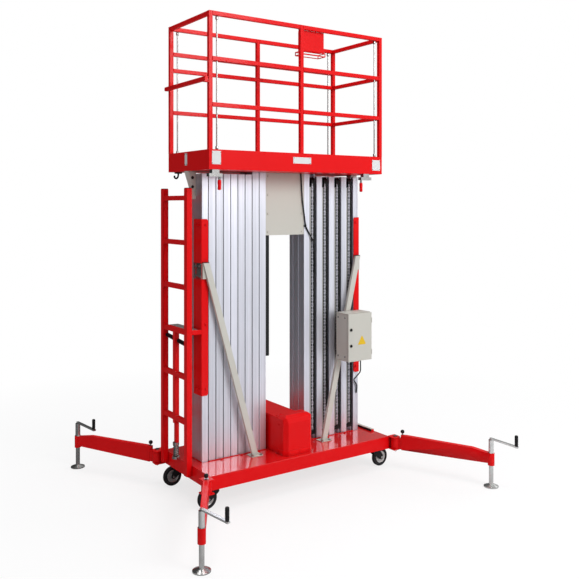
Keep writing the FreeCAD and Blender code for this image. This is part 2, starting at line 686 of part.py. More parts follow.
def postChannels():
    """Red channels that clamp the fixed sections at the outer front corners."""
    tall = "(channelTop - channelBottom)"
    both = []
    for side in (1, -1):
        web = box(f"0 - {side} * bankOuter - {'channelWall' if side > 0 else '0'}", "mastFront - channelWall",
                  "channelBottom", "channelWall", "channelSide", tall)
        edge = "channelFlange - channelWall"
        front = [
            ("0 - channelWall", "0"), (f"{edge} - channelCorner", "0"), (edge, "channelCorner"),
            (edge, f"{tall} - channelCorner"), (f"{edge} - channelCorner", tall), ("0 - channelWall", tall),
        ]
        front = [(f"{side} * ({across})", up) for across, up in front]
        flange = extruded("XZ_Plane", [front], "channelWall")
        place(flange, f"0 - {side} * bankOuter", "mastFront", "channelBottom")
        both.append(fuse([web, flange]))
    keep(group(both), "post_channels")


def braces():
    """Flat tubes from the post channels down to the deck, in front and behind."""
    both = []
    for side in (1, -1):
        slant = [
            ("0 - braceWidth / 2", "0"), ("braceWidth / 2", "0"),
            ("braceTopX - braceFootX + braceWidth / 2", f"braceTopZ - {deckTop}"),
            ("braceTopX - braceFootX - braceWidth / 2", f"braceTopZ - {deckTop}"),
        ]
        slant = [(f"{side} * ({across})", up) for across, up in slant]
        for face in (-1, 1):
            tube = extruded("XZ_Plane", [slant], "braceDepth", middle=True)
            reach = f"(braceTopZ - {deckTop}) * tan(braceLean)"
            gap = "(channelWall + braceOff + braceDepth / 2)"
            y = f"mastFront - {gap} - {reach}" if face < 0 else f"mastFront + mastDepth + {gap} + {reach}"
            low = f"{deckTop} + braceDepth / 2 * sin(braceLean) + runningGap"
            place(tube, f"{side} * braceFootX", y, low, f"{face} * braceLean", (1, 0, 0))
            plate = box(f"{side} * braceFootX - braceFootPlate / 2", f"{y} - braceFootDepth / 2", deckTop,
                        "braceFootPlate", "braceFootDepth", "braceFootThickness")
            lug = box(f"{side} * braceTopX - braceWidth / 2",
                      "mastFront - channelWall - braceLugDepth" if face < 0 else "mastFront + mastDepth",
                      "braceTopZ - braceLug", "braceWidth", "braceLugDepth", "braceLug")
            both.append(fuse([tube, plate, lug]))
    keep(group(both), "mast_braces")


def powerPack():
    """A long housing whose front cover is bevelled on every edge that shows."""
    inside = "2"
    wide = "(packCoverRight - packLeft)"
    body = box("packLeft", f"packFront + packCoverDepth - {inside}", deckTop, "packRight - packLeft",
               f"packBack - packFront - packCoverDepth + {inside}", f"packTop - {deckTop}")
    tall = f"(packCoverTop - {deckTop})"
    front = [
        ("0", "0"), (wide, "0"), (wide, f"{tall} - packBevel"), (f"{wide} - packBevel", tall),
        ("packBevel", tall), ("0", f"{tall} - packBevel"),
    ]
    side = [
        ("0", "0"), ("packCoverDepth", "0"), ("packCoverDepth", tall), ("packTopBevel", tall),
        ("packBevel / 3", f"{tall} - packTopBevel / 2"), ("0", f"{tall} - packTopBevel - packBevel / 2"),
    ]
    plan = [
        ("packBevel", "0"), (f"{wide} - packBevel", "0"), (wide, "packBevel"),
        (wide, "packCoverDepth"), ("0", "packCoverDepth"), ("0", "packBevel"),
    ]
    shapes = [extruded("XZ_Plane", [front], "packCoverDepth", reverse=True),
              extruded("YZ_Plane", [side], wide), extruded("XY_Plane", [plan], tall)]
    cover = place(common(shapes), "packLeft", "packFront", deckTop)
    hem = [
        ("packBevel", "0 - packSkirtStep"), (f"{wide} - packBevel", "0 - packSkirtStep"),
        (f"{wide} + packSkirtStep", "packBevel"), (f"{wide} + packSkirtStep", "packCoverDepth"),
        ("0 - packSkirtStep", "packCoverDepth"), ("0 - packSkirtStep", "packBevel"),
    ]
    skirt = place(extruded("XY_Plane", [hem], "packSkirt"), "packLeft", "packFront", deckTop)
    keep(fuse([body, cover, skirt]), "power_pack")


def ladder():
    stiles = [box("ladderX - stileDeep", f"ladderMiddle + {side} * ladderWidth / 2 - stileWide / 2",
                  "ladderBottom", "stileDeep", "stileWide", "ladderTop - ladderBottom") for side in (-1, 1)]
    rungs = [box("ladderX - stileDeep / 2 - rungDepth / 2", "ladderMiddle - ladderWidth / 2",
                 f"rungTop - rungHeight - {step} * rungPitch", "rungDepth", "ladderWidth", "rungHeight")
             for step in range(6)]
    post = box("ladderX - stileDeep / 2 - rungDepth / 2", "ladderMiddle - stepPostWidth / 2",
               "rungTop - 5 * rungPitch - stepPostDrop", "rungDepth", "stepPostWidth",
               "2 * rungPitch + stepPostDrop - rungHeight / 2")
    stay = box("ladderX - stileDeep / 2", "mastFront - stayAside", "rungTop - rungHeight - 3 * rungPitch",
               "stileDeep / 2 - ladderX - bankOuter - channelWall - runningGap", "stayWidth", "rungHeight")
    keep(fuse(stiles + rungs + [post, stay]), "ladder")


def controlBox():
    shell = box("boxLeft", "boxFront + doorThickness + runningGap", "boxBottom", "boxWidth",
                "boxBack - boxFront - doorThickness - runningGap", "boxHeight")
    room = box("boxLeft + boxWall", "boxFront + doorThickness - toolPast", "boxBottom + boxWall",
               "boxWidth - 2 * boxWall", "boxBack - boxFront - doorThickness + toolPast - boxWall",
               "boxHeight - 2 * boxWall")
    feet = []
    for low in ("(boxBottom + boxFootLow)", "(boxBottom + boxHeight - boxFootLow - boxFoot)"):
        x = f"(braceFootX + (braceTopX - braceFootX) * ({low} - {deckTop}) / (braceTopZ - {deckTop}))"
        off = f"(channelWall + braceOff + braceDepth + runningGap + (braceTopZ - {low}) * tan(braceLean))"
        face = f"(mastFront - {off})"
        feet.append(box(f"{x} - braceWidth / 2", "boxBack - boxWall", low,
                        "braceWidth", f"{face} - boxBack + boxWall", "boxFoot"))
    keep(fuse([cut(shell, [room])] + feet), "control_box")
    door = box("boxLeft", "boxFront", "boxBottom", "boxWidth", "doorThickness", "boxHeight")
    knuckles = [rod("boxLeft + boxWidth", "boxFront", f"boxBottom + {low}", "doorPinRadius", "knuckleLength")
                for low in ("knuckleInset", "boxHeight - knuckleInset - knuckleLength")]
    keep(fuse([door] + knuckles), "control_door")


def platform():
    length, width = "platformLength / 2", "platformWidth / 2"
    front, back = f"(platformMiddle - {width})", f"(platformMiddle + {width})"
    outer = box(f"-{length}", front, "platformBottom", "platformLength", "platformWidth", "toeHeight")
    inner = box(f"-{length} + toeWall", f"{front} + toeWall", "platformBottom + floorThickness",
                "platformLength - 2 * toeWall", "platformWidth - 2 * toeWall", "toeHeight")
    keep(cut(outer, [inner]), "platform_tray")
    foot = "(platformBottom + toeHeight)"
    tall = "(railTop - toeHeight)"
    for name, y in (("front", front), ("back", f"({back} - railTube)")):
        parts = [box(x, y, foot, "railTube", "railTube", tall)
                 for x in (f"-{length}", "0 - railTube / 2", f"{length} - railTube")]
        heights = ["railTop", "railUpper", "railLower"] + (["railBack"] if name == "back" else [])
        for top in heights:
            parts.append(box(f"-{length}", y, f"platformBottom + {top} - railTube",
                             "platformLength", "railTube", "railTube"))
        for side in (-1, 1):
            inward = f"{y} + railTube / 2"
            parts.append(rod(f"{side} * ({length} - rodInset)", inward, foot, "rodRadius", f"{tall} - 5"))
        if name == "front":
            parts.append(box(f"-{length} - railTube - entryGap", front,
                             "platformBottom + railEntry - railTube - hookThickness - runningGap",
                             "2 * railTube", "railTube", "hookThickness"))
        else:
            parts.append(rod(f"-{length} - railTube - 2 * entryGap", f"{back} - railTube / 2",
                             "platformBottom + railEntry - railTube / 2", "entryPinRadius",
                             "2 * railTube", "X"))
        keep(fuse(parts), "guardrail_" + name)
    ends = []
    for side in (-1, 1):
        x = f"-{length}" if side < 0 else f"{length} - railTube"
        for top in (["railTop"] if side < 0 else ["railTop", "railUpper", "railLower"]):
            ends.append(box(x, f"{front} + railTube", f"platformBottom + {top} - railTube",
                            "railTube", "platformWidth - 2 * railTube", "railTube"))
    keep(group(ends), "guardrail_ends")
    bar = box(f"-{length} - railTube - entryGap", front, "platformBottom + railEntry - railTube",
              "railTube", "platformWidth", "railTube")
    hole = rod(f"-{length} - railTube - 10", f"{back} - railTube / 2",
               "platformBottom + railEntry - railTube / 2", "entryPinRadius + pinGap", "railTube + 20", "X")
    keep(cut(bar, [hole]), "entry_bar")
    plate = box("0 - bankInner", "mastFront + bridgeInset", "bridgeBottom", "2 * bankInner",
                "bridgeThickness", "platformBottom - bridgeBottom")
    keep(plate, "bridge_plate")
    case = box("caseLeft", f"{front} + railTube", "platformBottom + railTop - railTube - caseHeight",
               "caseWidth", "caseDepth", "caseHeight")
    keep(case, "platform_case")
    guide = box("0 - bankInner", "mastFront + bridgeInset + bridgeThickness", "guideBottom",
                "guideWidth", "guideDepth", "bridgeBottom - guideBottom + 40")
    keep(guide, "cable_guide")
    clamps = []
    for middle, aside in (("(clampInset - platformLength / 2)", "clampAside"),
                          ("(platformLength / 2 - clampInset - clampLength)", "0 - clampAside")):
        block = box(f"{middle} - clampBlock / 2", f"{front} + 4", "platformBottom - clampGap",
                    "clampBlock", "clampDepth", "clampGap")
        bar = box(f"{middle} - clampLength / 2", f"{front} + 4", "platformBottom - clampGap - clampThickness",
                  "clampLength", "clampDepth", "clampThickness")
        stem = rod(f"{middle} + {aside}", f"{front} + 4 + clampDepth / 2", "platformBottom - clampDrop",
                   "clampRadius", "clampDrop - clampGap - clampThickness / 2")
        clamps.append(fuse([block, bar, stem]))
    keep(group(clamps), "corner_clamps")


def platformRests():
    """Slanted stands on the fixed sections, on which the lowered platform rests."""
    both = []
    for side in (1, -1):
        shape = [("0", "0"), ("0 - restReach", "restDrop"), ("0", "restDrop")]
        shape = [(f"{side} * ({across})", up) for across, up in shape]
        web = extruded("XZ_Plane", [shape], "restWidth", middle=True)
        place(web, f"0 - {side} * bankOuter", "mastFront + mastDepth * 0.6",
              "platformBottom - runningGap - restDrop")
        both.append(web)
    keep(group(both), "platform_rests")


cordFront = "mastFront - cordGap - cordRadius"
mouth = "bankInner + sectionPitch"

# Routes of the two cords, along X, Y and Z: from the platform to the chain channel of the
# right bank's inner section, and from the control box to the front of the fixed section.
platformRoute = [
    ("bankInner - 37", cordFront, "platformBottom"),
    ("bankInner - 22", cordFront, "platformBottom - 218"),
    ("bankInner + 13", cordFront, "bridgeBottom + 61"),
    (f"{mouth} - 31", cordFront, "bridgeBottom - 70"),
    (f"{mouth} - 23", cordFront, "bridgeBottom - 260"),
    (f"{mouth} - 27", "mastFront - cordRadius - 1", "bridgeBottom - 335"),
]
boxRoute = [
    ("boxLeft + 198", "boxFront + 85", "boxBottom"),
    ("boxLeft + 198", "boxFront + 85", "boxBottom - 114"),
    ("boxLeft + 220", "mastFront - 24", "boxBottom - 209"),
    ("bankOuter - 16", "mastFront - 12", "boxBottom - 264"),
    ("bankOuter - 22", "mastFront - cordRadius - 1", "boxBottom - 329"),
]


chassisFrame()
deckPlate()
casters()
outriggers()
mast()
postChannels()
braces()
powerPack()
ladder()
controlBox()
platform()
platformRests()
cord(platformRoute, "cordRadius", "platformBend", "platform_cable")
cord(boxRoute, "cordRadius", "boxBend", "box_cable")

doc.recompute()
bad = [o.Label for o in doc.Objects if "Invalid" in o.State or "Error" in o.State]
if bad:
    raise RuntimeError("objects that failed: " + ", ".join(bad))
for node in nodes:
    if node.Shape.isNull() or not node.Shape.isValid():
        raise RuntimeError("no valid shape: " + node.Label)
os.makedirs("parts", exist_ok=True)
for node in nodes:
    node.Shape.exportStep(f"parts/{node.Label}.step")
    print(node.Label, len(node.Shape.Solids), round(node.Shape.Volume / 1e6, 3))
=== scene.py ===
# Looks of the mast lift: finishes, light, camera and the small pieces that the frame lacks.
# Metres. X along the chassis, Y to the back, Z up, origin on the floor under the chassis.
import itertools
import math
import bpy
import numpy as np
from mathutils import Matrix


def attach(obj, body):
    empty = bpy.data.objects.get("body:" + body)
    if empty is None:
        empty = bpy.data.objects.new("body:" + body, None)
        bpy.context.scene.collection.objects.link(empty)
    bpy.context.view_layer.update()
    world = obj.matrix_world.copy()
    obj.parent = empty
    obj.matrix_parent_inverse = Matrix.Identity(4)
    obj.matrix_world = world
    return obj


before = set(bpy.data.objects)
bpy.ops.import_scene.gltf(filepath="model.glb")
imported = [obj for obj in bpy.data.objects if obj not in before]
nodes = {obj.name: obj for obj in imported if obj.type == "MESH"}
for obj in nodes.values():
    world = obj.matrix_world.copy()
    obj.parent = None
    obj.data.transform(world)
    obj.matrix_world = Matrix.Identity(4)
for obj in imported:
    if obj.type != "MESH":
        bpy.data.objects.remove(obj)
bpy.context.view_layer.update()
scene = bpy.context.scene
print("frame loaded:", len(nodes), "nodes")

sides = (-1, 1)
quarters = list(itertools.product(sides, sides))  # side along X, side along Y
flanks = ((-1, "left"), (1, "right"))

# Linear red, green and blue.
colours = {
    "signalRed": (0.84, 0.004, 0.006),
    # painted shade colour that red paint takes in creases
    "redShade": (0.20, 0.001, 0.002),
    "beige": (0.63, 0.62, 0.56),
    "beigeShade": (0.24, 0.22, 0.16),
    "silver": (0.82, 0.835, 0.92),
    "silverShade": (0.16, 0.16, 0.19),
    "nickel": (0.72, 0.73, 0.72),
    "zinc": (0.52, 0.52, 0.51),
    "zincShade": (0.12, 0.11, 0.10),
    "black": (0.012, 0.012, 0.013),
    "rubber": (0.020, 0.020, 0.022),
    "white": (0.78, 0.78, 0.78),
    "yellow": (0.85, 0.55, 0.03),
    "dust": (0.36, 0.32, 0.27),
}

# Patterns on the surfaces: a Scale is that of a noise, a From pair the stretch of a value that becomes 0 to 1.
patternSet = {
    "cloudScale": 2.6, "creaseSamples": 6, "paintWander": 0.10, "metalReach": 0.02,
    "peelScale": 210.0, "patchScale": 9.0, "patchMiddle": 0.45, "paintBump": 0.0004,
    "fleckScale": 17.0, "fleckFrom": (0.35, 0.75), "flatFrom": (0.75, 1.0), "dustRoughness": 0.4,
    "lineFrom": (0.35, 0.8), "lineRoughness": 0.16, "metalBump": 0.0003,
    "broadScale": 0.12, "broadFrom": (0.3, 0.7), "broadLevel": (0.86, 1.08), "coatRoughness": 0.06,
}


# Node helpers.
def newGroup(name, inputs, outputs):
    tree = bpy.data.node_groups.new(name, "ShaderNodeTree")
    for label, kind, value in inputs:
        socket = tree.interface.new_socket(label, in_out="INPUT", socket_type="NodeSocket" + kind)
        socket.default_value = value
    for label, kind in outputs:
        tree.interface.new_socket(label, in_out="OUTPUT", socket_type="NodeSocket" + kind)
    return tree, tree.nodes.new("NodeGroupInput").outputs, tree.nodes.new("NodeGroupOutput").inputs


def connect(tree, node, links):
    # a socket is linked, any other value is set
    for key, value in links.items():
        if isinstance(value, bpy.types.NodeSocket):
            tree.links.new(value, node.inputs[key])
        else:
            node.inputs[key].default_value = value


def add(tree, kind, links=None, **settings):
    node = tree.nodes.new("ShaderNode" + kind)
    for key, value in settings.items():
        setattr(node, key, value)
    connect(tree, node, links or {})
    return node


def calc(tree, operation, a, b=0.0, clamp=False):
    return add(tree, "Math", {0: a, 1: b}, operation=operation, use_clamp=clamp).outputs[0]


def mix(tree, share, a, b):
    return add(tree, "Mix", {0: share, 6: a, 7: b}, data_type="RGBA").outputs[2]


def fade(tree, value, low, high, start=0.0, end=1.0):
    return add(tree, "MapRange", {"Value": value, "From Min": low, "From Max": high,
                                  "To Min": start, "To Max": end}).outputs["Result"]


def noise(tree, vector, scale, detail, roughness=0.5):
    return add(tree, "TexNoise", {"Vector": vector, "Scale": scale, "Detail": detail,
                                  "Roughness": roughness}).outputs["Fac"]


def scaled(tree, colour, level):
    return add(tree, "VectorMath", {0: colour, "Scale": level}, operation="SCALE").outputs[0]


def rgba(name):
    return (*colours[name], 1.0)


# Painted shade: colour deepens in creases that ambient occlusion finds, and wanders a little over each panel.
def makeCreaseGroup():
    s = patternSet
    tree, given, result = newGroup(
        "creaseShade",
        [("Colour", "Color", (0.8, 0.8, 0.8, 1)), ("Shade", "Color", (0.2, 0.2, 0.2, 1)),
         ("Reach", "Float", 0.03), ("Depth", "Float", 0.5), ("Wander", "Float", 0.08)],
        [("Colour", "Color"), ("Crease", "Float")])
    spot = add(tree, "TexCoord").outputs["Object"]
    cloud = noise(tree, spot, s["cloudScale"], 3.0)
    bare = add(tree, "AmbientOcclusion", {"Distance": given["Reach"]}, samples=s["creaseSamples"])
    crease = calc(tree, "SUBTRACT", 1.0, bare.outputs["AO"], clamp=True)
    # painted shade: colour mixes toward the Shade colour where ambient occlusion finds a crease
    shaded = mix(tree, calc(tree, "MULTIPLY", crease, given["Depth"]), given["Colour"], given["Shade"])
    drift = calc(tree, "MULTIPLY", calc(tree, "SUBTRACT", cloud, 0.5), given["Wander"])
    tree.links.new(scaled(tree, shaded, calc(tree, "ADD", drift, 1.0)), result["Colour"])
    tree.links.new(crease, result["Crease"])
    return tree


# Fine ripple of sprayed paint, with a slower unevenness in its gloss.
def makeSprayGroup():
    s = patternSet
    tree, given, result = newGroup(
        "sprayedCoat", [("Gloss", "Float", 0.25), ("Spread", "Float", 0.08)],
        [("Roughness", "Float"), ("Height", "Float")])
    spot = add(tree, "TexCoord").outputs["Object"]
    peel = noise(tree, spot, s["peelScale"], 2.0)
    patch = noise(tree, spot, s["patchScale"], 5.0)
    uneven = calc(tree, "MULTIPLY", calc(tree, "SUBTRACT", patch, s["patchMiddle"]), given["Spread"])
    tree.links.new(calc(tree, "ADD", given["Gloss"], uneven), result["Roughness"])
    tree.links.new(peel, result["Height"])
    return tree


# Dust lies on faces that look up, thicker where a noise is high.
def makeDustGroup():
    s = patternSet
    tree, given, result = newGroup(
        "settledDust", [("Colour", "Color", (0.8, 0.8, 0.8, 1)), ("Dust", "Color", (0.4, 0.35, 0.3, 1)),
                        ("Amount", "Float", 0.2)], [("Colour", "Color"), ("Mask", "Float")])
    up = add(tree, "SeparateXYZ", {0: add(tree, "NewGeometry").outputs["Normal"]}).outputs["Z"]
    spot = add(tree, "TexCoord").outputs["Object"]
    fleck = noise(tree, spot, s["fleckScale"], 8.0, 0.7)
    lying = calc(tree, "MULTIPLY", fade(tree, up, *s["flatFrom"]), fade(tree, fleck, *s["fleckFrom"]))
    mask = calc(tree, "MULTIPLY", lying, given["Amount"], clamp=True)
    tree.links.new(mix(tree, mask, given["Colour"], given["Dust"]), result["Colour"])
    tree.links.new(mask, result["Mask"])
    return tree


# Streaks along Z, as a die leaves them on an extrusion: noise on squeezed coordinates.
def makeDrawnGroup():
    s = patternSet
    tree, given, result = newGroup(
        "drawnMetal",
        [("Colour", "Color", (0.7, 0.7, 0.7, 1)), ("Shade", "Color", (0.3, 0.3, 0.3, 1)),
         ("Across", "Float", 160.0), ("Along", "Float", 0.8),
         ("Streak", "Float", 0.25), ("Polish", "Float", 0.3)],
        [("Colour", "Color"), ("Roughness", "Float"), ("Height", "Float")])
    spot = add(tree, "SeparateXYZ", {0: add(tree, "TexCoord").outputs["Object"]}).outputs
    scales = {"X": "Across", "Y": "Across", "Z": "Along"}
    squeezed = add(tree, "CombineXYZ", {axis: calc(tree, "MULTIPLY", spot[axis], given[scale])
                                        for axis, scale in scales.items()}).outputs[0]
    line = noise(tree, squeezed, 1.0, 4.0, 0.6)
    broad = noise(tree, squeezed, s["broadScale"], 2.0)
    share = calc(tree, "MULTIPLY", fade(tree, line, *s["lineFrom"]), given["Streak"])
    tint = mix(tree, share, given["Colour"], given["Shade"])
    tree.links.new(scaled(tree, tint, fade(tree, broad, *s["broadFrom"], *s["broadLevel"])), result["Colour"])
    rough = calc(tree, "ADD", given["Polish"], calc(tree, "MULTIPLY", line, s["lineRoughness"]))
    tree.links.new(rough, result["Roughness"])
    tree.links.new(line, result["Height"])
    return tree


groups = {"crease": makeCreaseGroup(), "spray": makeSprayGroup(),
          "dust": makeDustGroup(), "drawn": makeDrawnGroup()}


def newMaterial(name):
    material = bpy.data.materials.new(name)
    material.use_nodes = True
    tree = material.node_tree
    tree.nodes.clear()
    shader = add(tree, "BsdfPrincipled")
    out = add(tree, "OutputMaterial", {"Surface": shader.outputs[0]})
    return material, tree, shader, out


def useGroup(tree, key, links):
    node = tree.nodes.new("ShaderNodeGroup")
    node.node_tree = groups[key]
    connect(tree, node, links)
    return node.outputs


def bump(tree, shader, height, strength, distance):
    node = add(tree, "Bump", {"Height": height, "Strength": strength, "Distance": distance})
    tree.links.new(node.outputs[0], shader.inputs["Normal"])


# Sprayed or powder coat.
def makePaint(name, colour, shade, gloss, spread=0.08, coat=0.0, dusty=0.1, peel=0.06, depth=0.6, shine=0.2):
    s = patternSet
    material, tree, shader, _ = newMaterial(name)
    # painted shade: the crease group darkens the colour toward the shade colour in creases
    crease = useGroup(tree, "crease", {"Colour": rgba(colour), "Shade": rgba(shade), "Depth": depth,
                                       "Wander": s["paintWander"]})
    dust = useGroup(tree, "dust", {"Colour": crease["Colour"], "Dust": rgba("dust"), "Amount": dusty})
    spray = useGroup(tree, "spray", {"Gloss": gloss, "Spread": spread})
    dull = calc(tree, "MULTIPLY", dust["Mask"], s["dustRoughness"])
    connect(tree, shader, {
        "Base Color": dust["Colour"], "Roughness": calc(tree, "ADD", spray["Roughness"], dull),
        "Specular IOR Level": shine, "Coat Weight": coat, "Coat Roughness": s["coatRoughness"]})
    bump(tree, shader, spray["Height"], peel, s["paintBump"])
    return material


# Drawn, plated or cast metal. With across and along the same, the streaks become an even grain.
def makeMetal(name, colour, shade, polish, streak=0.25, across=160.0, along=0.8, metallic=1.0, ripple=0.05,
              depth=0.7):
    s = patternSet
    material, tree, shader, _ = newMaterial(name)
    drawn = useGroup(tree, "drawn", {"Colour": rgba(colour), "Shade": rgba(shade), "Across": across,
                                     "Along": along, "Streak": streak, "Polish": polish})
    # painted shade: the crease group darkens the metal toward its shade colour in creases
    crease = useGroup(tree, "crease", {"Colour": drawn["Colour"], "Shade": rgba(shade),
                                       "Reach": s["metalReach"], "Depth": depth})
    connect(tree, shader, {"Base Color": crease["Colour"], "Roughness": drawn["Roughness"],
                           "Metallic": metallic})
    bump(tree, shader, drawn["Height"], ripple, s["metalBump"])
    return material


# Paints and plastics: colour, painted shade colour in creases, roughness, and what differs from makePaint's
# values.
paints = {
    "redPaint": ("signalRed", "redShade", 0.30, {"coat": 0.10, "dusty": 0.04, "shine": 0.10}),
    "deckPaint": ("signalRed", "redShade", 0.12,
                  {"spread": 0.06, "coat": 1.0, "dusty": 0.03, "peel": 0.02, "shine": 0.3}),
    "beigePaint": ("beige", "beigeShade", 0.42, {"coat": 0.05, "dusty": 0.05, "peel": 0.10}),
    "blackPaint": ("black", "black", 0.38, {"dusty": 0.08}),
    "tyreRubber": ("rubber", "black", 0.62, {"spread": 0.2, "dusty": 0.5, "peel": 0.3}),
    "blackPlastic": ("black", "black", 0.45, {"dusty": 0.12, "peel": 0.2}),
    # the blank plates' painted shade in creases is in the dust tone
    "blankWhite": ("white", "dust", 0.45, {"dusty": 0.0, "depth": 0.2}),
    "blankYellow": ("yellow", "dust", 0.45, {"dusty": 0.0, "depth": 0.2}),
}
# Metals: colour, painted shade colour in creases, roughness, and what differs from makeMetal's values.
metals = {
    "mastAluminium": ("silver", "silverShade", 0.34, {"streak": 0.30, "metallic": 0.85}),
    "zincPlate": ("zinc", "zincShade", 0.12, {"streak": 0.35, "across": 30.0, "along": 30.0}),
    "chainPlated": ("silver", "silverShade", 0.32,
                    {"streak": 0.2, "across": 60.0, "along": 60.0, "metallic": 0.6, "depth": 0.12}),
    "jackPlate": ("nickel", "zincShade", 0.16, {"streak": 0.2, "across": 30.0, "along": 30.0, "depth": 0.35}),
    # stripMetal: a darker grey that paints the shade of the channel wall beside the chains
    "stripMetal": ("zinc", "zincShade", 0.40, {"streak": 0.3, "metallic": 0.85}),
    "chainSteel": ("black", "black", 0.34, {"streak": 0.2, "across": 60.0, "along": 60.0, "metallic": 0.6}),
    "sheetMetal": ("zinc", "zincShade", 0.40, {"streak": 0.3, "across": 12.0, "along": 12.0}),
    "castSilver": ("nickel", "zincShade", 0.26, {"streak": 0.2, "across": 40.0, "along": 40.0}),
}
finish = {name: makePaint(name, *tones, **rest) for name, (*tones, rest) in paints.items()}
finish.update({name: makeMetal(name, *tones, **rest) for name, (*tones, rest) in metals.items()})

print("finishes:", len(finish))

# The frame's nodes: finish and width of the rounded edges in metres.
nodeFinish = {
    "chassis_frame": ("redPaint", 0.0015), "deck_plate": ("deckPaint", 0.0015),
    "post_channels": ("redPaint", 0.001), "hinge_pins": ("zincPlate", 0), "power_pack": ("redPaint", 0.005),
    "mast_base_sections": ("mastAluminium", 0.0012), "mast_section": ("mastAluminium", 0.0012),
    "lift_chains": ("chainSteel", 0), "mast_braces": ("beigePaint", 0.002), "ladder": ("redPaint", 0.003),
    "control_box": ("beigePaint", 0.002), "control_door": ("beigePaint", 0.003),
    "box_cable": ("blackPlastic", 0),
    "platform_tray": ("redPaint", 0.002), "guardrail": ("redPaint", 0.003), "entry_bar": ("redPaint", 0.003),
    "bridge_plate": ("beigePaint", 0.001), "platform_case": ("redPaint", 0.003),
    "cable_guide": ("blackPlastic", 0.002), "corner_clamps": ("zincPlate", 0.001),
    "platform_rests": ("beigePaint", 0.001), "platform_cable": ("blackPlastic", 0),
    "outrigger_arm": ("redPaint", 0.002), "jack_head": ("jackPlate", 0), "jack_leg": ("jackPlate", 0),
    "caster_fork": ("blackPaint", 0), "caster_wheel": ("tyreRubber", 0),
}
# Corners nearer than merge become one; edges that turn by more than the angle, in degrees, are rounded.
edgeSet = {"merge": 0.00001, "segments": 2, "angle": 40}


def dressNodes():
    for name, obj in nodes.items():
        key = max((k for k in nodeFinish if name.startswith(k)), key=len)
        coat, edge = nodeFinish[key]
        obj.data.materials.clear()
        obj.data.materials.append(finish[coat])
        if edge:
            merge = obj.modifiers.new("joined", "WELD")
            merge.merge_threshold = edgeSet["merge"]
            bevel = obj.modifiers.new("edges", "BEVEL")
            bevel.width = edge
            bevel.segments = edgeSet["segments"]
            bevel.limit_method = "ANGLE"
            bevel.angle_limit = math.radians(edgeSet["angle"])


dressNodes()
print("frame dressed")


# Shapes: a part is an array of places and an array of faces with four corners each.
def weld(points, faces):
    # corners that are the same to 10 micrometres become one; a face left with three corners repeats its last
    _, first, back = np.unique(np.round(points, 5), axis=0, return_index=True, return_inverse=True)
    faces = back.reshape(-1)[faces]
    same = faces == np.roll(faces, -1, axis=1)
    quads = faces[same.sum(1) == 0]
    three = same.sum(1) == 1
    tris = faces[three][~same[three]].reshape(-1, 3)
    faces = np.vstack([quads, np.column_stack([tris, tris[:, 2]])])
    return outward(points[first], faces)


def outward(points, faces):
    # the sum of corner products is the volume: where it is negative, every face is turned over
    a, b, c, d = (points[faces[:, k]] for k in range(4))
    volume = (np.cross(a, b) * c).sum() + (np.cross(a, c) * d).sum()
    if volume < 0:
        faces = np.column_stack([faces[:, 0], faces[:, 3], faces[:, 2], faces[:, 1]])
        three = faces[:, 1] == faces[:, 2]
        faces[three] = faces[three][:, [0, 1, 3, 3]]
    return points, faces


def skin(rows):
    # rows and columns of places become quads; columns close round, rows don't
    count, across = rows.shape[:2]
    i, j = np.meshgrid(np.arange(count - 1), np.arange(across), indexing="ij")
    k = (j + 1) % across
    faces = np.stack([i * across + j, i * across + k, (i + 1) * across + k, (i + 1) * across + j], -1)
    return weld(rows.reshape(-1, 3), faces.reshape(-1, 4))


def lathe(profile, count=24):
    # radius and height pairs turned about Z: (r cos a, r sin a, z)
    profile = np.array(profile, float)
    angle = np.linspace(0, 2 * np.pi, count, endpoint=False)
    ring = np.stack([np.cos(angle), np.sin(angle), np.zeros(count)], -1)
    return skin(profile[:, None, :1] * ring[None] + profile[:, None, 1:] * np.array([0, 0, 1.0]))


def drum(radius, height, count):
    # a closed cylinder that stands on Z = 0
    return lathe([(0, 0), (radius, 0), (radius, height), (0, height)], count)


def collar(inner, outer, low, high, count):
    # a ring of rectangular section about Z
    return lathe([(inner, low), (outer, low), (outer, high), (inner, high), (inner, low)], count)


def roundBox(size, radius, steps=2):
    # sphere directions pushed out to the corners: p = sign * (half - radius) + radius * direction
    half = np.array(size, float) / 2 - radius
    step = np.linspace(0, np.pi / 2, steps + 1)
    turn = np.concatenate([step + k * np.pi / 2 for k in range(4)])
    signX = np.repeat([1, -1, -1, 1], steps + 1)
    signY = np.repeat([1, 1, -1, -1], steps + 1)
    lift = np.concatenate([step - np.pi / 2, step])
    signZ = np.repeat([-1, 1], steps + 1)
    a, e = np.meshgrid(turn, lift)
    rows = np.stack([
        signX[None] * half[0] + radius * np.cos(e) * np.cos(a),
        signY[None] * half[1] + radius * np.cos(e) * np.sin(a),
        signZ[:, None] * half[2] + radius * np.sin(e)], -1)
    low, high = rows[:1] * [0, 0, 1], rows[-1:] * [0, 0, 1]
    return skin(np.concatenate([low, rows, high]))


def slab(outline, depth, bevel=0.0):
    # an outline in X and Y, drawn in by the bevel at both faces, stacked along Z
    outline = np.array(outline, float)
    middle = outline.mean(0)
    inner = 1 - bevel / np.abs(outline - middle).max()
    levels = [(0.0, 0.0), (inner, 0.0), (1.0, bevel), (1.0, depth - bevel), (inner, depth), (0.0, depth)]
    share, height = np.array(levels).T
    flat = middle + (outline - middle)[None] * share[:, None, None]
    rows = np.concatenate([flat, np.broadcast_to(height[:, None, None], (*flat.shape[:2], 1))], -1)
    return skin(rows)


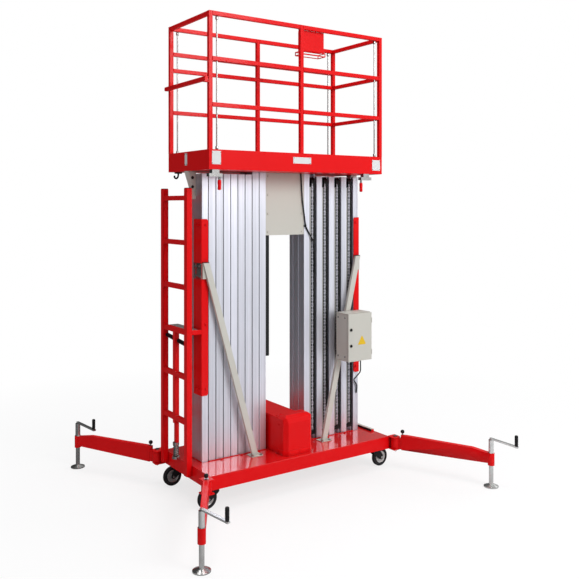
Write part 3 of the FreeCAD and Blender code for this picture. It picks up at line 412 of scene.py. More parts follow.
def sweep(path, radius, count=10, up=(0.31, 0.22, 0.93)):
    # a circle carried along a path, square to it: p = path + r (cos a side + sin a over)
    path = np.array(path, float)
    along = np.gradient(path, axis=0)
    along /= np.linalg.norm(along, axis=1)[:, None]
    side = np.cross(along, up)
    side /= np.linalg.norm(side, axis=1)[:, None]
    over = np.cross(side, along)
    angle = np.linspace(0, 2 * np.pi, count, endpoint=False)
    radius = np.broadcast_to(radius, len(path))
    ring = np.cos(angle)[None, :, None] * side[:, None] + np.sin(angle)[None, :, None] * over[:, None]
    rows = path[:, None] + radius[:, None, None] * ring
    ends = [np.repeat(path[k][None, None], count, 1) for k in (0, -1)]
    return skin(np.concatenate([ends[0], rows, ends[1]]))


def smoothPath(corners, steps=12):
    # a line through the corners whose every stretch is a cubic with shared slopes
    p = np.array(corners, float)
    slope = np.gradient(p, axis=0)
    t = np.linspace(0, 1, steps, endpoint=False)[None, :, None]
    a, b, u, v = p[:-1, None], p[1:, None], slope[:-1, None], slope[1:, None]
    level = a * (1 + 2 * t) * (1 - t) ** 2 + b * t * t * (3 - 2 * t)
    slant = u * t * (1 - t) ** 2 - v * t * t * (1 - t)
    return np.concatenate([(level + slant).reshape(-1, 3), p[-1:]])


def cuboidEdges(low, high):
    # the twelve edges of a box: the pairs of its corners that differ in one coordinate
    ends = np.array(list(itertools.product(*zip(low, high))))
    return [ends[[a, b]] for a, b in itertools.combinations(range(8), 2) if (ends[a] != ends[b]).sum() == 1]


def turned(part, axis, degrees):
    # the right-hand turn about one of the axes
    a = math.radians(degrees)
    c, s = math.cos(a), math.sin(a)
    table = {"X": [[1, 0, 0], [0, c, -s], [0, s, c]], "Y": [[c, 0, s], [0, 1, 0], [-s, 0, c]],
             "Z": [[c, -s, 0], [s, c, 0], [0, 0, 1]]}
    return part[0] @ np.array(table[axis]).T, part[1]


def moved(part, *places):
    # one copy of the part at each place
    places = np.array(places, float).reshape(-1, 3)
    points = (part[0][None] + places[:, None]).reshape(-1, 3)
    faces = (part[1][None] + np.arange(len(places))[:, None, None] * len(part[0])).reshape(-1, 4)
    return points, faces


def boxAt(size, radius, *places, steps=2):
    return moved(roundBox(size, radius, steps), *places)


def spots(x, y, z):
    # single values and arrays of a kind become a list of places
    return np.stack(np.broadcast_arrays(x, y, z), -1).reshape(-1, 3)


def chequer(bar, first, pitch, counts):
    # bars on a grid from the first place, turned one way and the other in turn
    i, j = np.meshgrid(np.arange(counts[0]), np.arange(counts[1]), indexing="ij")
    places = spots(first[0] + i * pitch[0], first[1] + j * pitch[1], first[2])
    even = (i + j).reshape(-1) % 2 == 0
    return [moved(turned(bar, "Z", 45), places[even]), moved(turned(bar, "Z", -45), places[~even])]


def joined(parts):
    start = np.cumsum([0] + [len(p) for p, f in parts[:-1]])
    return np.vstack([p for p, f in parts]), np.vstack([f + s for (p, f), s in zip(parts, start)])


def piece(name, body, coat, *parts, smooth=35):
    # the parts as one object that rides on the body; edges that turn by more than smooth degrees stay sharp
    points, faces = joined(parts)
    three = faces[:, 2] == faces[:, 3]
    shape = bpy.data.meshes.new(name)
    shape.from_pydata(points.tolist(), [], faces[~three].tolist() + faces[three][:, :3].tolist())
    shape.polygons.foreach_set("use_smooth", [True] * len(shape.polygons))
    shape.set_sharp_from_angle(angle=math.radians(smooth))
    shape.materials.append(finish[coat])
    obj = bpy.data.objects.new(name, shape)
    scene.collection.objects.link(obj)
    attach(obj, body)


# Bolt heads, as shares of a bolt's radius and height: washer, underside of the hexagon, its drawn-in top.
headSet = {"washer": (1.45, 0.25), "under": 0.2, "top": (0.85, 1.12)}
facing = {"up": ("X", 0), "front": ("X", 90), "back": ("X", -90), "right": ("Y", 90), "left": ("Y", -90),
          "down": ("X", 180)}


def hexHead(radius, height):
    # a six sided bolt head on a washer, standing on Z = 0
    (wide, thick), (narrow, tall) = headSet["washer"], headSet["top"]
    under, top = height * headSet["under"], height * tall
    head = lathe([(0, under), (radius, under), (radius, height), (radius * narrow, top), (0, top)], 6)
    return joined([drum(radius * wide, height * thick, 16), head])


def bolts(radius, height, way, places):
    return moved(turned(hexHead(radius, height), *facing[way]), *places)


def plate(size, way, place):
    # a thin sheet whose broad side looks the given way, its back on the place
    thick = size[2]
    sheet = boxAt(size, thick * 0.45, (0, 0, thick / 2), steps=1)
    if way in ("left", "right"):
        sheet = turned(sheet, "Z", 90)
    return moved(turned(sheet, *facing[way]), place)


# Leaf chains: plates on pins, laid over the plain strip of each run, a black and a plated one side by side.
chainSet = {
    "pitch": 0.0254, "plateHigh": 0.0115, "plateThick": 0.0026, "gap": 0.0004, "rows": 5,
    "endShare": 0.92,  # a plate is longer than the pitch by this share of its height
    "pinRadius": 0.0022, "pinOver": 0.001, "bottom": 0.345, "top": 2.400,
    "bodies": ("stage_2", "stage_3", "stage_4", "platform"),
    "outerX": 0.700, "sectionPitch": 0.12975, "faceY": -0.0725, "middleY": 0.025,
    # half of a plate's outline: shares of its half length and of its half height
    "outline": ((-1, 0.35), (-0.8, 0.85), (-0.35, 0.86), (0.35, 0.86), (0.8, 0.85), (1, 0.35)),
    # name, distance from the section's thin wall, finish
    "runs": (("black_chain_", 0.017, "chainSteel"), ("plated_chain_", 0.037, "chainPlated")),
    # strip beside the chains, its darker grey painted shade of the channel's set-back wall: distance from the
    # thin wall, middle behind the front, middle's height
    "strip": {"size": (0.0215, 0.002, 2.01), "round": 0.0009, "inward": 0.0575, "behind": 0.0030,
              "middle": 1.345},
}


def linkPlate():
    # one plate: straight sides with cut-off corners, its length along Z and its thickness along X
    c = chainSet
    half = np.array([c["pitch"] + c["plateHigh"] * c["endShare"], c["plateHigh"]]) / 2
    upper = np.array(c["outline"]) * half
    lower = upper[::-1] * [1, -1]
    return turned(slab(np.concatenate([upper, lower]), c["plateThick"]), "Y", -90)


def makeLeafChains():
    c = chainSet
    link = linkPlate()
    count = int((c["top"] - c["bottom"]) / c["pitch"])
    space = c["plateThick"] + c["gap"]
    wide = c["rows"] * space
    pin = turned(drum(c["pinRadius"], wide + 2 * c["pinOver"], 8), "Y", 90)
    # plates stand in every other place of each row, and neighbouring rows are out of step
    row, order = np.meshgrid(np.arange(c["rows"]), np.arange(count), indexing="ij")
    used = (row + order) % 2 == 0
    row, order = row[used], order[used]
    for (step, body), (name, inward, coat) in itertools.product(enumerate(c["bodies"]), c["runs"]):
        parts = []
        for side in sides:
            left = side * (c["outerX"] - step * c["sectionPitch"] - inward) - wide / 2
            y = c["middleY"] + side * (c["faceY"] - c["middleY"])
            plates = spots(left + (row + 1) * space, y, c["bottom"] + (order + 0.5) * c["pitch"])
            pins = spots(left - c["pinOver"], y, c["bottom"] + np.arange(count) * c["pitch"])
            parts += [moved(link, plates), moved(pin, pins)]
        piece(f"{name}{step + 2}", body, coat, *parts, smooth=30)
    s = c["strip"]
    for step, body in enumerate(c["bodies"]):
        x = c["outerX"] - step * c["sectionPitch"] - s["inward"]
        y = c["middleY"] - c["faceY"] - s["behind"]
        places = [(side * x, c["middleY"] - side * y, s["middle"]) for side in sides]
        # painted shade: the strip's darker grey stands for the shaded channel wall
        piece(f"channel_strip_{step + 2}", body, "stripMetal", boxAt(s["size"], s["round"], *places, steps=1))


makeLeafChains()
print("leaf chains ready")

# Deck and chassis: bolts of mast feet, braces and casters, edge strip, weld beads, webs behind the hinges.
deckSet = {
    "top": 0.263, "casterPlate": 0.200, "bolt": (0.008, 0.009),
    "mastX": (-0.60, -0.42, -0.26, 0.26, 0.42, 0.60), "mastY": (-0.098, 0.148),
    "casterX": 0.765, "casterY": 0.285, "casterOff": 0.040,
    "braceBolt": (0.009, 0.010), "braceX": 0.335, "braceOff": 0.038, "braceY": (-0.182, 0.232),
    "braceFoot": 0.006,
    # finish, size, middle
    "edgeParts": {
        "edge_strip": ("beigePaint", (0.026, 0.559, 0.003), (0.836, 0.0935, 0.2790)),
        # a black strip on the right lip's inner face, painted shade of that side
        "edge_shade_strip": ("blackPlastic", (0.005, 0.559, 0.0145), (0.8180, 0.0935, 0.2710)),
        "edge_end": ("redPaint", (0.028, 0.0885, 0.0155), (0.836, -0.1415, 0.2705)),
    },
    "edgeRound": 0.001,
    # beads: along the banks, along the outer channels, up the hinge ears
    "bead": 0.0045, "beadUp": 0.001, "bankX": (0.70, 0.19), "bankY": (-0.0815, 0.1315),
    "channelX": 0.7595, "channelY": (-0.078, 0.128), "earX": 0.851, "earY": 0.35904, "earZ": (0.165, 0.25),
    "web": ((0.028, 0.008, 0.0874), 0.002), "webAt": (0.872, 0.359, 0.210),
}


def weldBead(start, end, radius, ripple=0.008, swell=0.22):
    # a rod along the corner whose radius swells and shrinks: r (1 + swell sin(2 pi s / ripple))
    start, end = np.array(start, float), np.array(end, float)
    length = np.linalg.norm(end - start)
    t = np.linspace(0, 1, max(int(length / ripple * 4), 4))
    wave = radius * (1 + swell * np.sin(t * length / ripple * 2 * np.pi))
    return sweep(start + t[:, None] * (end - start), wave, 6)


def makeDeckBolts():
    d = deckSet
    feet = [(x, y, d["top"]) for x in d["mastX"] for y in d["mastY"]]
    piece("deck_bolts", "chassis", "redPaint", bolts(*d["bolt"], "up", feet))
    off = d["casterOff"]
    casters = [(sx * (d["casterX"] + dx * off), sy * (d["casterY"] + dy * off), d["casterPlate"])
               for sx, sy in quarters for dx, dy in quarters]
    piece("caster_bolts", "chassis", "zincPlate", bolts(*d["bolt"], "down", casters))
    braces = [(side * d["braceX"] + dx * d["braceOff"], y, d["top"] + d["braceFoot"])
              for side in sides for dx in sides for y in d["braceY"]]
    piece("brace_bolts", "chassis", "zincPlate", bolts(*d["braceBolt"], "up", braces))


def makeDeckEdges():
    d = deckSet
    for name, (coat, size, place) in d["edgeParts"].items():
        piece(name, "chassis", coat, boxAt(size, d["edgeRound"], place))
    beads, z = [], d["top"] + d["beadUp"]
    for side in sides:
        lines = [[(side * x, y, z) for x in d["bankX"]] for y in d["bankY"]]
        lines += [[(side * d["channelX"], y, z) for y in d["channelY"]]]
        lines += [[(side * d["earX"], way * d["earY"], up) for up in d["earZ"]] for way in sides]
        beads += [weldBead(*line, d["bead"]) for line in lines]
    piece("deck_welds", "chassis", "redPaint", *beads)
    x, y, z = d["webAt"]
    webs = boxAt(*d["web"], *[(sx * x, sy * y, z) for sx, sy in quarters])
    piece("ear_webs", "chassis", "redPaint", webs)


makeDeckBolts()
makeDeckEdges()
print("deck trim ready")

# Work platform: blank plates, chequered floor sheet, rod sleeves.
platformSet = {
    "left": -0.826, "right": 0.826, "front": -0.316, "back": 0.352, "floor": 2.500, "toeTop": 2.606,
    # side that a blank plate looks to, middle, width, height
    "plates": [("front", (-0.765, -0.316, 2.546), 0.074, 0.098),
               ("front", (0.0, -0.316, 2.549), 0.172, 0.050),
               ("front", (0.761, -0.316, 2.533), 0.086, 0.088),
               ("left", (-0.826, 0.047, 2.548), 0.040, 0.092)],
    "plateThick": 0.0015, "rivet": (0.003, 0.0022),
    "rivetShare": {"front": (0.44, 0.40), "left": (0.40, 0.42)},  # of the plate's width and height
    "wall": 0.033, "sheetThick": 0.002, "sheetRound": 0.0009,
    "treadPitch": 0.036, "treadBar": ((0.024, 0.006, 0.003), 0.0014, 1),
    "rods": [(-0.754, -0.301), (0.754, -0.301), (-0.754, 0.337), (0.754, 0.337)],
    "rodRadius": 0.0058, "rodTop": 3.578, "rodEndDrop": 0.026,
    "rodEnd": [(0, 0), (0.010, 0), (0.011, 0.004), (0.011, 0.020), (0.009, 0.024), (0, 0.024)],
}


def makeToePlates():
    p = platformSet
    thick = p["plateThick"]
    sheets, rivets = [], []
    for way, place, wide, high in p["plates"]:
        sheets.append(plate((wide, high, thick), way, place))
        shareAcross, shareUp = p["rivetShare"][way]
        places = []
        for dx, dz in quarters:
            across, up = dx * wide * shareAcross, dz * high * shareUp
            off = (across, -thick, up) if way == "front" else (-thick, across, up)
            places.append(np.array(place) + off)
        rivets.append(bolts(*p["rivet"], way, places))
    piece("toe_plates", "platform", "blankWhite", *sheets)
    piece("toe_rivets", "platform", "zincPlate", *rivets)


def makeFloorSheet():
    p = platformSet
    pitch, thick = p["treadPitch"], p["sheetThick"]
    wide, deep = p["right"] - p["left"] - 2 * p["wall"], p["back"] - p["front"] - 2 * p["wall"]
    middle = (p["front"] + p["back"]) / 2
    sheet = boxAt((wide, deep, thick), p["sheetRound"], (0, middle, p["floor"] + thick / 2), steps=1)
    first = (pitch / 2 - wide / 2, pitch / 2 - deep / 2 + middle, p["floor"] + thick)
    treads = chequer(roundBox(*p["treadBar"]), first, (pitch, pitch), (int(wide / pitch), int(deep / pitch)))
    piece("floor_sheet", "platform", "sheetMetal", sheet, *treads)


def makeGateRods():
    p = platformSet
    rods = [sweep([(x, y, p["toeTop"]), (x, y, p["rodTop"])], p["rodRadius"], 12) for x, y in p["rods"]]
    ends = [(x, y, z) for x, y in p["rods"] for z in (p["toeTop"], p["rodTop"] - p["rodEndDrop"])]
    piece("gate_rods", "platform", "zincPlate", *rods, moved(lathe(p["rodEnd"], 12), *ends))


makeToePlates()
makeFloorSheet()
makeGateRods()

# Under the floor: keeper hook at the far left corner, the cord's clip, pull grips of the corner clamps.
fittingSet = {
    "hook": [(-0.760, 0.310, 2.461), (-0.762, 0.310, 2.430), (-0.775, 0.310, 2.412), (-0.792, 0.310, 2.418),
             (-0.794, 0.310, 2.434)],
    "hookRadius": 0.007, "hookFoot": ((0.050, 0.040, 0.012), 0.003, (-0.760, 0.310, 2.455)),
    "clip": [(0, 0), (0.0065, 0), (0.0075, 0.006), (0.006, 0.012), (0, 0.012)],
    "clipAt": (0.190, -0.078, 2.030),
    "cordRing": (0.0052, 0.0072, -0.008, 0.008), "cordAt": (0.1985, -0.087, 2.030),
    "grip": [(0, 0), (0.010, 0), (0.0135, 0.006), (0.0125, 0.030), (0.0145, 0.060), (0.012, 0.074),
             (0, 0.074)],
    "gripsAt": [(-0.727, -0.292, 2.311), (0.617, -0.292, 2.311)],
}


def makeFittings():
    f = fittingSet
    hook = sweep(smoothPath(f["hook"]), f["hookRadius"], 10)
    piece("corner_hook", "platform", "blackPaint", hook, boxAt(*f["hookFoot"]))
    clip = moved(turned(lathe(f["clip"], 14), "X", 90), f["clipAt"])
    piece("cord_clip", "platform", "blackPlastic", clip, moved(collar(*f["cordRing"], 16), f["cordAt"]))
    piece("clamp_grips", "platform", "redPaint", moved(lathe(f["grip"], 16), *f["gripsAt"]))


makeFittings()

# Welds where the rails meet the posts: an upright and a level bead on each side of each joint.
railSet = {"posts": (-0.811, 0.0, 0.811), "frontY": -0.301, "backY": 0.337, "half": 0.015, "off": 0.0005,
           "front": (3.595, 3.266, 2.932), "back": (3.595, 3.395, 3.266, 2.932),
           "bead": 0.0028, "ripple": 0.006}


def makeRailWelds():
    r = railSet
    half, beads = r["half"], []
    for y, heights in ((r["frontY"], r["front"]), (r["backY"], r["back"])):
        for x, z, side in itertools.product(r["posts"], heights, sides):
            if side * x > 0:  # no rail goes on beyond a corner post
                continue
            edge = x + side * (half + r["off"])
            for end in ((edge, y - half, z + half), (edge, y + half, z - half)):
                beads.append(weldBead((edge, y - half, z - half), end, r["bead"], r["ripple"]))
    piece("rail_welds", "platform", "redPaint", *beads, smooth=60)


makeRailWelds()

# Control case on the front guardrail: cover, stop button, keys and the wire tray below it.
caseSet = {
    "left": 0.020, "right": 0.235, "inner": -0.231, "front": -0.286, "low": 3.420, "high": 3.580,
    "coverHalf": (0.098, 0.070), "coverThick": 0.004, "coverBevel": 0.0015, "coverSunk": 0.001,
    "screw": (0.003, 0.003), "screwOff": (0.090, 0.062), "stopAt": (-0.055, 0.020),
    "stop": [(0, 0), (0.012, 0), (0.012, 0.012), (0.020, 0.016), (0.020, 0.026), (0.014, 0.032), (0, 0.034)],
    "stopRing": (0.026, 0.002),
    "button": [(0, 0), (0.013, 0), (0.013, 0.006), (0.009, 0.006), (0.009, 0.010), (0, 0.011)],
    "buttonsAt": ((0.01, 0.03), (0.05, 0.03), (0.01, -0.02), (0.05, -0.02)),
    # tray: set in from the case's left and front, and reaching past its right
    "wire": 0.004, "trayLow": 3.392, "trayDeep": 0.10, "trayIn": 0.006, "trayOver": 0.016, "trayDrop": 0.002,
}


def makeControlCase():
    c = caseSet
    middle, high = (c["left"] + c["right"]) / 2, (c["low"] + c["high"]) / 2
    back = c["inner"] - c["coverSunk"]
    face = back + c["coverThick"]
    x, y = c["coverHalf"]
    cover = slab([(-x, -y), (x, -y), (x, y), (-x, y)], c["coverThick"], c["coverBevel"])
    piece("case_cover", "platform", "beigePaint", moved(turned(cover, "X", -90), (middle, back, high)))

    def onFace(part, *offs):
        # parts that look to the back, at places on the cover
        return moved(turned(part, "X", -90), *[(middle + dx, face, high + dz) for dx, dz in offs])

    screws = np.array(quarters) * c["screwOff"]
    piece("case_screws", "platform", "zincPlate", onFace(hexHead(*c["screw"]), *screws))
    piece("stop_button", "platform", "redPaint", onFace(lathe(c["stop"], 20), c["stopAt"]))
    piece("stop_ring", "platform", "blankYellow", onFace(drum(*c["stopRing"], 20), c["stopAt"]))
    piece("case_buttons", "platform", "blackPlastic", onFace(lathe(c["button"], 16), *c["buttonsAt"]))
    low = (c["left"] + c["trayIn"], c["front"] + c["trayIn"], c["trayLow"])
    far = (c["right"] + c["trayOver"], c["front"] + c["trayDeep"], c["low"] - c["trayDrop"])
    piece("case_tray", "platform", "redPaint", *[sweep(line, c["wire"], 8) for line in cuboidEdges(low, far)])


makeControlCase()
print("platform ready")

# Ladder: stile caps, ribbed rungs, folding step with a black rod under it as painted shade, the guard's leg
# and sprung foot.
ladderSet = {
    "x": -0.872, "middleY": 0.125, "stileY": (-0.075, 0.325), "top": 2.325,
    "cap": ((0.040, 0.046, 0.006), 0.0025), "capUp": 0.002,
    "rungs": (2.270, 1.935, 1.600, 1.265, 0.930, 0.595),
    "rib": ((0.005, 0.340, 0.003), 0.0014, 1), "ribX": (-0.012, -0.004, 0.004, 0.012), "ribUp": 0.0008,
    "stepX": (-0.854, -0.770), "stepY": (-0.045, 0.295), "stepZ": 1.262, "stepThick": 0.004,
    "stepRound": 0.0015,
    "bar": ((0.018, 0.005, 0.003), 0.0013, 1), "barsIn": (0.016, 0.015), "barPitch": (0.026, 0.024),
    "bars": (3, 14),
    # a black rod under the folding step, painted shade along its underside: path and radius
    "stop": [(-0.860, -0.050, 1.150), (-0.860, 0.300, 1.185)], "shadeRodRadius": 0.016,
    "leg": ((0.024, 0.044, 0.200), 0.004, (-0.872, 0.114, 0.490)),
    "cup": [(0, 0), (0.030, 0), (0.030, 0.018), (0.016, 0.024), (0.016, 0.10), (0.024, 0.105),
            (0.024, 0.125), (0, 0.13)],
    "cupLow": 0.2635, "springRadius": 0.020, "springWire": 0.0035, "springTurns": 6, "springLow": 0.285,
    "springTall": 0.085,
}


def makeLadderTrim():
    d = ladderSet
    caps = [(d["x"], y, d["top"] + d["capUp"]) for y in d["stileY"]]
    piece("stile_caps", "chassis", "blackPlastic", boxAt(*d["cap"], *caps))
    ribs = [(d["x"] + dx, d["middleY"], z + d["ribUp"]) for z in d["rungs"] for dx in d["ribX"]]
    piece("rung_ribs", "chassis", "redPaint", moved(roundBox(*d["rib"]), *ribs))
    (x0, x1), (y0, y1), (inX, inY) = d["stepX"], d["stepY"], d["barsIn"]
    size = (x1 - x0, y1 - y0, d["stepThick"])
    tread = boxAt(size, d["stepRound"], ((x0 + x1) / 2, (y0 + y1) / 2, d["stepZ"]))
    first = (x0 + inX, y0 + inY, d["stepZ"] + d["stepThick"] / 2)
    bars = chequer(roundBox(*d["bar"]), first, d["barPitch"], d["bars"])
    piece("step_tread", "chassis", "sheetMetal", tread, *bars)
    # painted shade: a black rod under the folding step
    piece("step_shade_rod", "chassis", "blackPlastic", sweep(d["stop"], d["shadeRodRadius"], 14))
    piece("guard_leg", "chassis", "redPaint", boxAt(*d["leg"]))


def makeFootFitting():
    # a plated cup with a spring round its pin: the spring's wire follows a helix
    d = ladderSet
    t = np.linspace(0, 1, 90)
    turn = t * d["springTurns"] * 2 * np.pi
    helix = spots(d["x"] + d["springRadius"] * np.cos(turn), d["middleY"] + d["springRadius"] * np.sin(turn),
                  d["springLow"] + d["springTall"] * t)
    cup = moved(lathe(d["cup"], 24), (d["x"], d["middleY"], d["cupLow"]))
    piece("foot_fitting", "chassis", "zincPlate", cup, sweep(helix, d["springWire"], 8))


makeLadderTrim()
makeFootFitting()
print("ladder ready")

# Outriggers: lock knob, collars, welds and the crank's grip, drawn in each arm's own line.
armSet = {
    "hingeX": 0.896, "hingeY": 0.407, "reach": 0.815,
    # corner: side along X, side along Y, heading of the arm, heading of the crank
    "corners": {"fl": (-1, -1, 239.5, -70.5), "fr": (1, -1, -67, -70.5), "bl": (-1, 1, 119, -70.5),
                "br": (1, 1, 63, 109.5)},
    "knobAlong": 0.064, "knobRadius": 0.0165, "knobLow": 0.2945,
    "stem": [(0, 0.270), (0.0085, 0.270), (0.0085, 0.286), (0.0055, 0.288), (0.0055, 0.298), (0, 0.298)],
    "block": ((0.034, 0.036, 0.032), 0.003, (0.071, 0, 0.268)),
    "sleeveCollar": [(0.020, 0.2625), (0.0235, 0.2625), (0.0235, 0.2660), (0.0215, 0.2675), (0.020, 0.2675),
                     (0.020, 0.2625)],
    "pinRing": 0.010, "pinRingWire": 0.0019, "pinRingZ": 0.1475,
    "tubeTop": 0.366, "nut": (0.019, 0.005), "nutSunk": 0.002,
    # grip: shares of its radius, heights above its lower end; grooves: shares, height, first, end, pitch
    "crankAlong": 0.201, "gripLow": 0.338, "gripRadius": 0.0128,
    "grip": [(0, 0), (0.7, 0), (0.92, 0.004), (1, 0.02), (0.93, 0.05), (1.05, 0.084), (0.95, 0.093),
             (0.6, 0.096), (0, 0.096)],
    "groove": (0.9, 1.09, 0.002), "grooves": (0.024, 0.076, 0.008),
    # beads: at the barrel, where the beam meets the neck, at the jack's sleeve
    "bead": 0.003, "barrel": 0.038, "sleeve": 0.026, "neckHalf": 0.019, "armHalf": 0.020, "neckEnd": 0.0615,
    "neckZ": (0.170, 0.250), "sleeveZ": (0.190, 0.256),
}


def onArm(part, corner, along=0.0):
    # from the arm's own line to its place: moved out from the pin, turned to its heading
    sideX, sideY, heading, _ = armSet["corners"][corner]
    part = turned(moved(part, (along, 0, 0)), "Z", heading)
    return moved(part, (sideX * armSet["hingeX"], sideY * armSet["hingeY"], 0))


def onCrank(part, corner):
    # to the jack at the arm's end, turned to the crank's heading
    sideX, sideY, heading, crank = armSet["corners"][corner]
    reach, a = armSet["reach"], math.radians(heading)
    x, y = sideX * armSet["hingeX"] + reach * math.cos(a), sideY * armSet["hingeY"] + reach * math.sin(a)
    return moved(turned(part, "Z", crank), (x, y, 0))


def lockKnob():
    # a ball that stands on its lowest point: (r sqrt(1 - k k), r (1 + k)) for k from -1 to 1
    r = armSet["knobRadius"]
    k = np.linspace(-1, 1, 13)
    ball = lathe(np.stack([r * np.sqrt(np.maximum(1 - k * k, 0)), r * (1 + k)], -1), 20)
    return moved(ball, (0, 0, armSet["knobLow"]))


def pinRing():
    # the wire ring at the foot of the hinge pin: a circle in X and Z
    r = armSet["pinRing"]
    t = np.linspace(0, 2 * np.pi, 25)
    ring = sweep(spots(r * np.cos(t), 0, r * np.sin(t)), armSet["pinRingWire"], 8)
    return moved(ring, (0, 0, armSet["pinRingZ"]))


def crankGrip():
    d = armSet
    r, low = d["gripRadius"], d["gripLow"]
    inner, outer, tall = d["groove"]
    grip = lathe([(r * share, low + up) for share, up in d["grip"]], 18)
    rings = [collar(r * inner, r * outer, low + z, low + z + tall, 18) for z in np.arange(*d["grooves"])]
    return moved(joined([grip] + rings), (d["crankAlong"], 0, 0))


def armBeads(corner):
    # upright beads, each as its distance from the pin, its distance from the middle and its two heights
    d = armSet
    neck = math.sqrt(d["barrel"] ** 2 - d["neckHalf"] ** 2)
    sleeve = d["reach"] - math.sqrt(d["sleeve"] ** 2 - d["armHalf"] ** 2)
    lines = [(neck, d["neckHalf"], *d["neckZ"]), (d["neckEnd"], d["neckHalf"], *d["neckZ"]),
             (sleeve, d["armHalf"], *d["sleeveZ"])]
    return [onArm(weldBead((x, side * half, low), (x, side * half, high), d["bead"]), corner)
            for side in sides for x, half, low, high in lines]


def makeOutriggerTrim():
    d = armSet
    knob, ring, grip = lockKnob(), pinRing(), crankGrip()
    stem, sleeve, block = lathe(d["stem"], 14), lathe(d["sleeveCollar"], 28), boxAt(*d["block"])
    nut = moved(drum(*d["nut"], 6), (0, 0, d["tubeTop"] - d["nutSunk"]))
    for corner in d["corners"]:
        body = "arm_" + corner
        piece("lock_knob_" + corner, body, "blackPlastic", onArm(knob, corner, d["knobAlong"]))
        piece("lock_stem_" + corner, body, "zincPlate", onArm(stem, corner, d["knobAlong"]),
              onArm(sleeve, corner, d["reach"]), onCrank(nut, corner))
        piece("lock_block_" + corner, body, "redPaint", onArm(block, corner))
        piece("pin_ring_" + corner, "chassis", "zincPlate", onArm(ring, corner))
        piece("crank_grip_" + corner, body, "blackPlastic", onCrank(grip, corner))
        piece("arm_welds_" + corner, body, "redPaint", *armBeads(corner), smooth=60)


makeOutriggerTrim()

# Casters: hub discs and spokes on the wheel, axle nuts, swivel ring and pivot bolt on the fork.
casterSet = {
    "x": 0.765, "y": 0.285, "trail": 0.060, "axleZ": 0.075,
    "disc": [(0.0085, 0.0112), (0.0475, 0.0112), (0.0480, 0.0135), (0.0455, 0.0142), (0.0430, 0.0122),
             (0.0210, 0.0118), (0.0190, 0.0150), (0.0180, 0.0165), (0.0085, 0.0165), (0.0085, 0.0112)],
    "spoke": ((0.024, 0.005, 0.004), 0.0012, (0.0315, 0, 0.0128)), "spokes": 5, "spokeTurn": 18,
    "nut": [(0, 0.0265), (0.0105, 0.0265), (0.0105, 0.033), (0.009, 0.0345), (0, 0.0345)],
    "race": [(0.024, 0.176), (0.034, 0.176), (0.0365, 0.181), (0.0365, 0.191), (0.034, 0.196), (0.024, 0.196),
             (0.024, 0.176)],
    "bolt": (0.009, 0.009), "boltZ": 0.168,
}


def makeCasterTrim():
    c = casterSet
    spoke = boxAt(*c["spoke"])
    hub = [lathe(c["disc"], 40)]
    hub += [turned(spoke, "Z", k * 360 / c["spokes"] + c["spokeTurn"]) for k in range(c["spokes"])]
    nut, race = lathe(c["nut"], 6), lathe(c["race"], 28)
    bolt = moved(hexHead(*c["bolt"]), (0, 0, c["boltZ"]))
    for corner, (sideX, sideY, _, _) in armSet["corners"].items():
        axle = (sideX * (c["x"] + c["trail"]), sideY * c["y"], c["axleZ"])
        place = (sideX * c["x"], sideY * c["y"], 0)
        both = [moved(turned(part, "X", way), axle) for part in hub for way in (90, -90)]
        piece("caster_hub_" + corner, "wheel_" + corner, "castSilver", *both)
        parts = [moved(turned(nut, "X", way), axle) for way in (90, -90)]
        parts += [moved(race, place), moved(bolt, place)]
        piece("caster_race_" + corner, "fork_" + corner, "zincPlate", *parts)


makeCasterTrim()
print("outriggers and casters ready")

# Power pack: screws, louvres and the latch of its cover.
packSet = {
    "left": -0.165, "right": 0.102, "front": -0.325, "bodyRight": 0.058, "back": 0.330, "top": 0.545,
    "step": 0.004,
    "screw": (0.005, 0.004), "screwIn": 0.045, "screwY": -0.235, "screwZ": (0.282, 0.49),
    "topX": (-0.145, 0.038), "topY": (-0.17, 0.06, 0.30),
    "louvre": ((0.120, 0.012, 0.004), 0.0018), "louvreLean": 30, "louvreOut": 0.002, "louvreLow": 0.33,
    "louvrePitch": 0.020, "louvres": 8, "backX": -0.053, "sideY": 0.10,
    # size, radius, how far out of the cover, place along Y and Z
    "latch": [((0.005, 0.030, 0.042), 0.002, 0.0025, (-0.265, 0.400)),
              ((0.004, 0.014, 0.050), 0.0018, 0.006, (-0.265, 0.405))],
}


def makePackTrim():
    p = packSet
    low, high = p["screwZ"]
    ends = (p["left"] + p["screwIn"], (p["left"] + p["right"]) / 2, p["right"] - p["screwIn"])
    places = {
        "front": [(x, p["front"] - p["step"], low) for x in ends],
        "right": [(p["right"] + p["step"], p["screwY"], low), (p["right"], p["screwY"], high)],
        "left": [(p["left"], p["screwY"], high), (p["left"] - p["step"], p["screwY"], low)],
        "up": [(x, y, p["top"]) for x in p["topX"] for y in p["topY"]],
    }
    piece("pack_screws", "chassis", "redPaint", *[bolts(*p["screw"], way, at) for way, at in places.items()])
    louvre = turned(roundBox(*p["louvre"]), "X", p["louvreLean"])
    heights = p["louvreLow"] + np.arange(p["louvres"]) * p["louvrePitch"]
    back = moved(louvre, spots(p["backX"], p["back"] + p["louvreOut"], heights))
    side = moved(turned(louvre, "Z", 90), spots(p["bodyRight"] + p["louvreOut"], p["sideY"], heights))
    piece("pack_louvres", "chassis", "redPaint", back, side)
    latch = [boxAt(size, radius, (p["right"] + out, *place)) for size, radius, out, place in p["latch"]]
    piece("pack_latch", "chassis", "zincPlate", *latch)


makePackTrim()

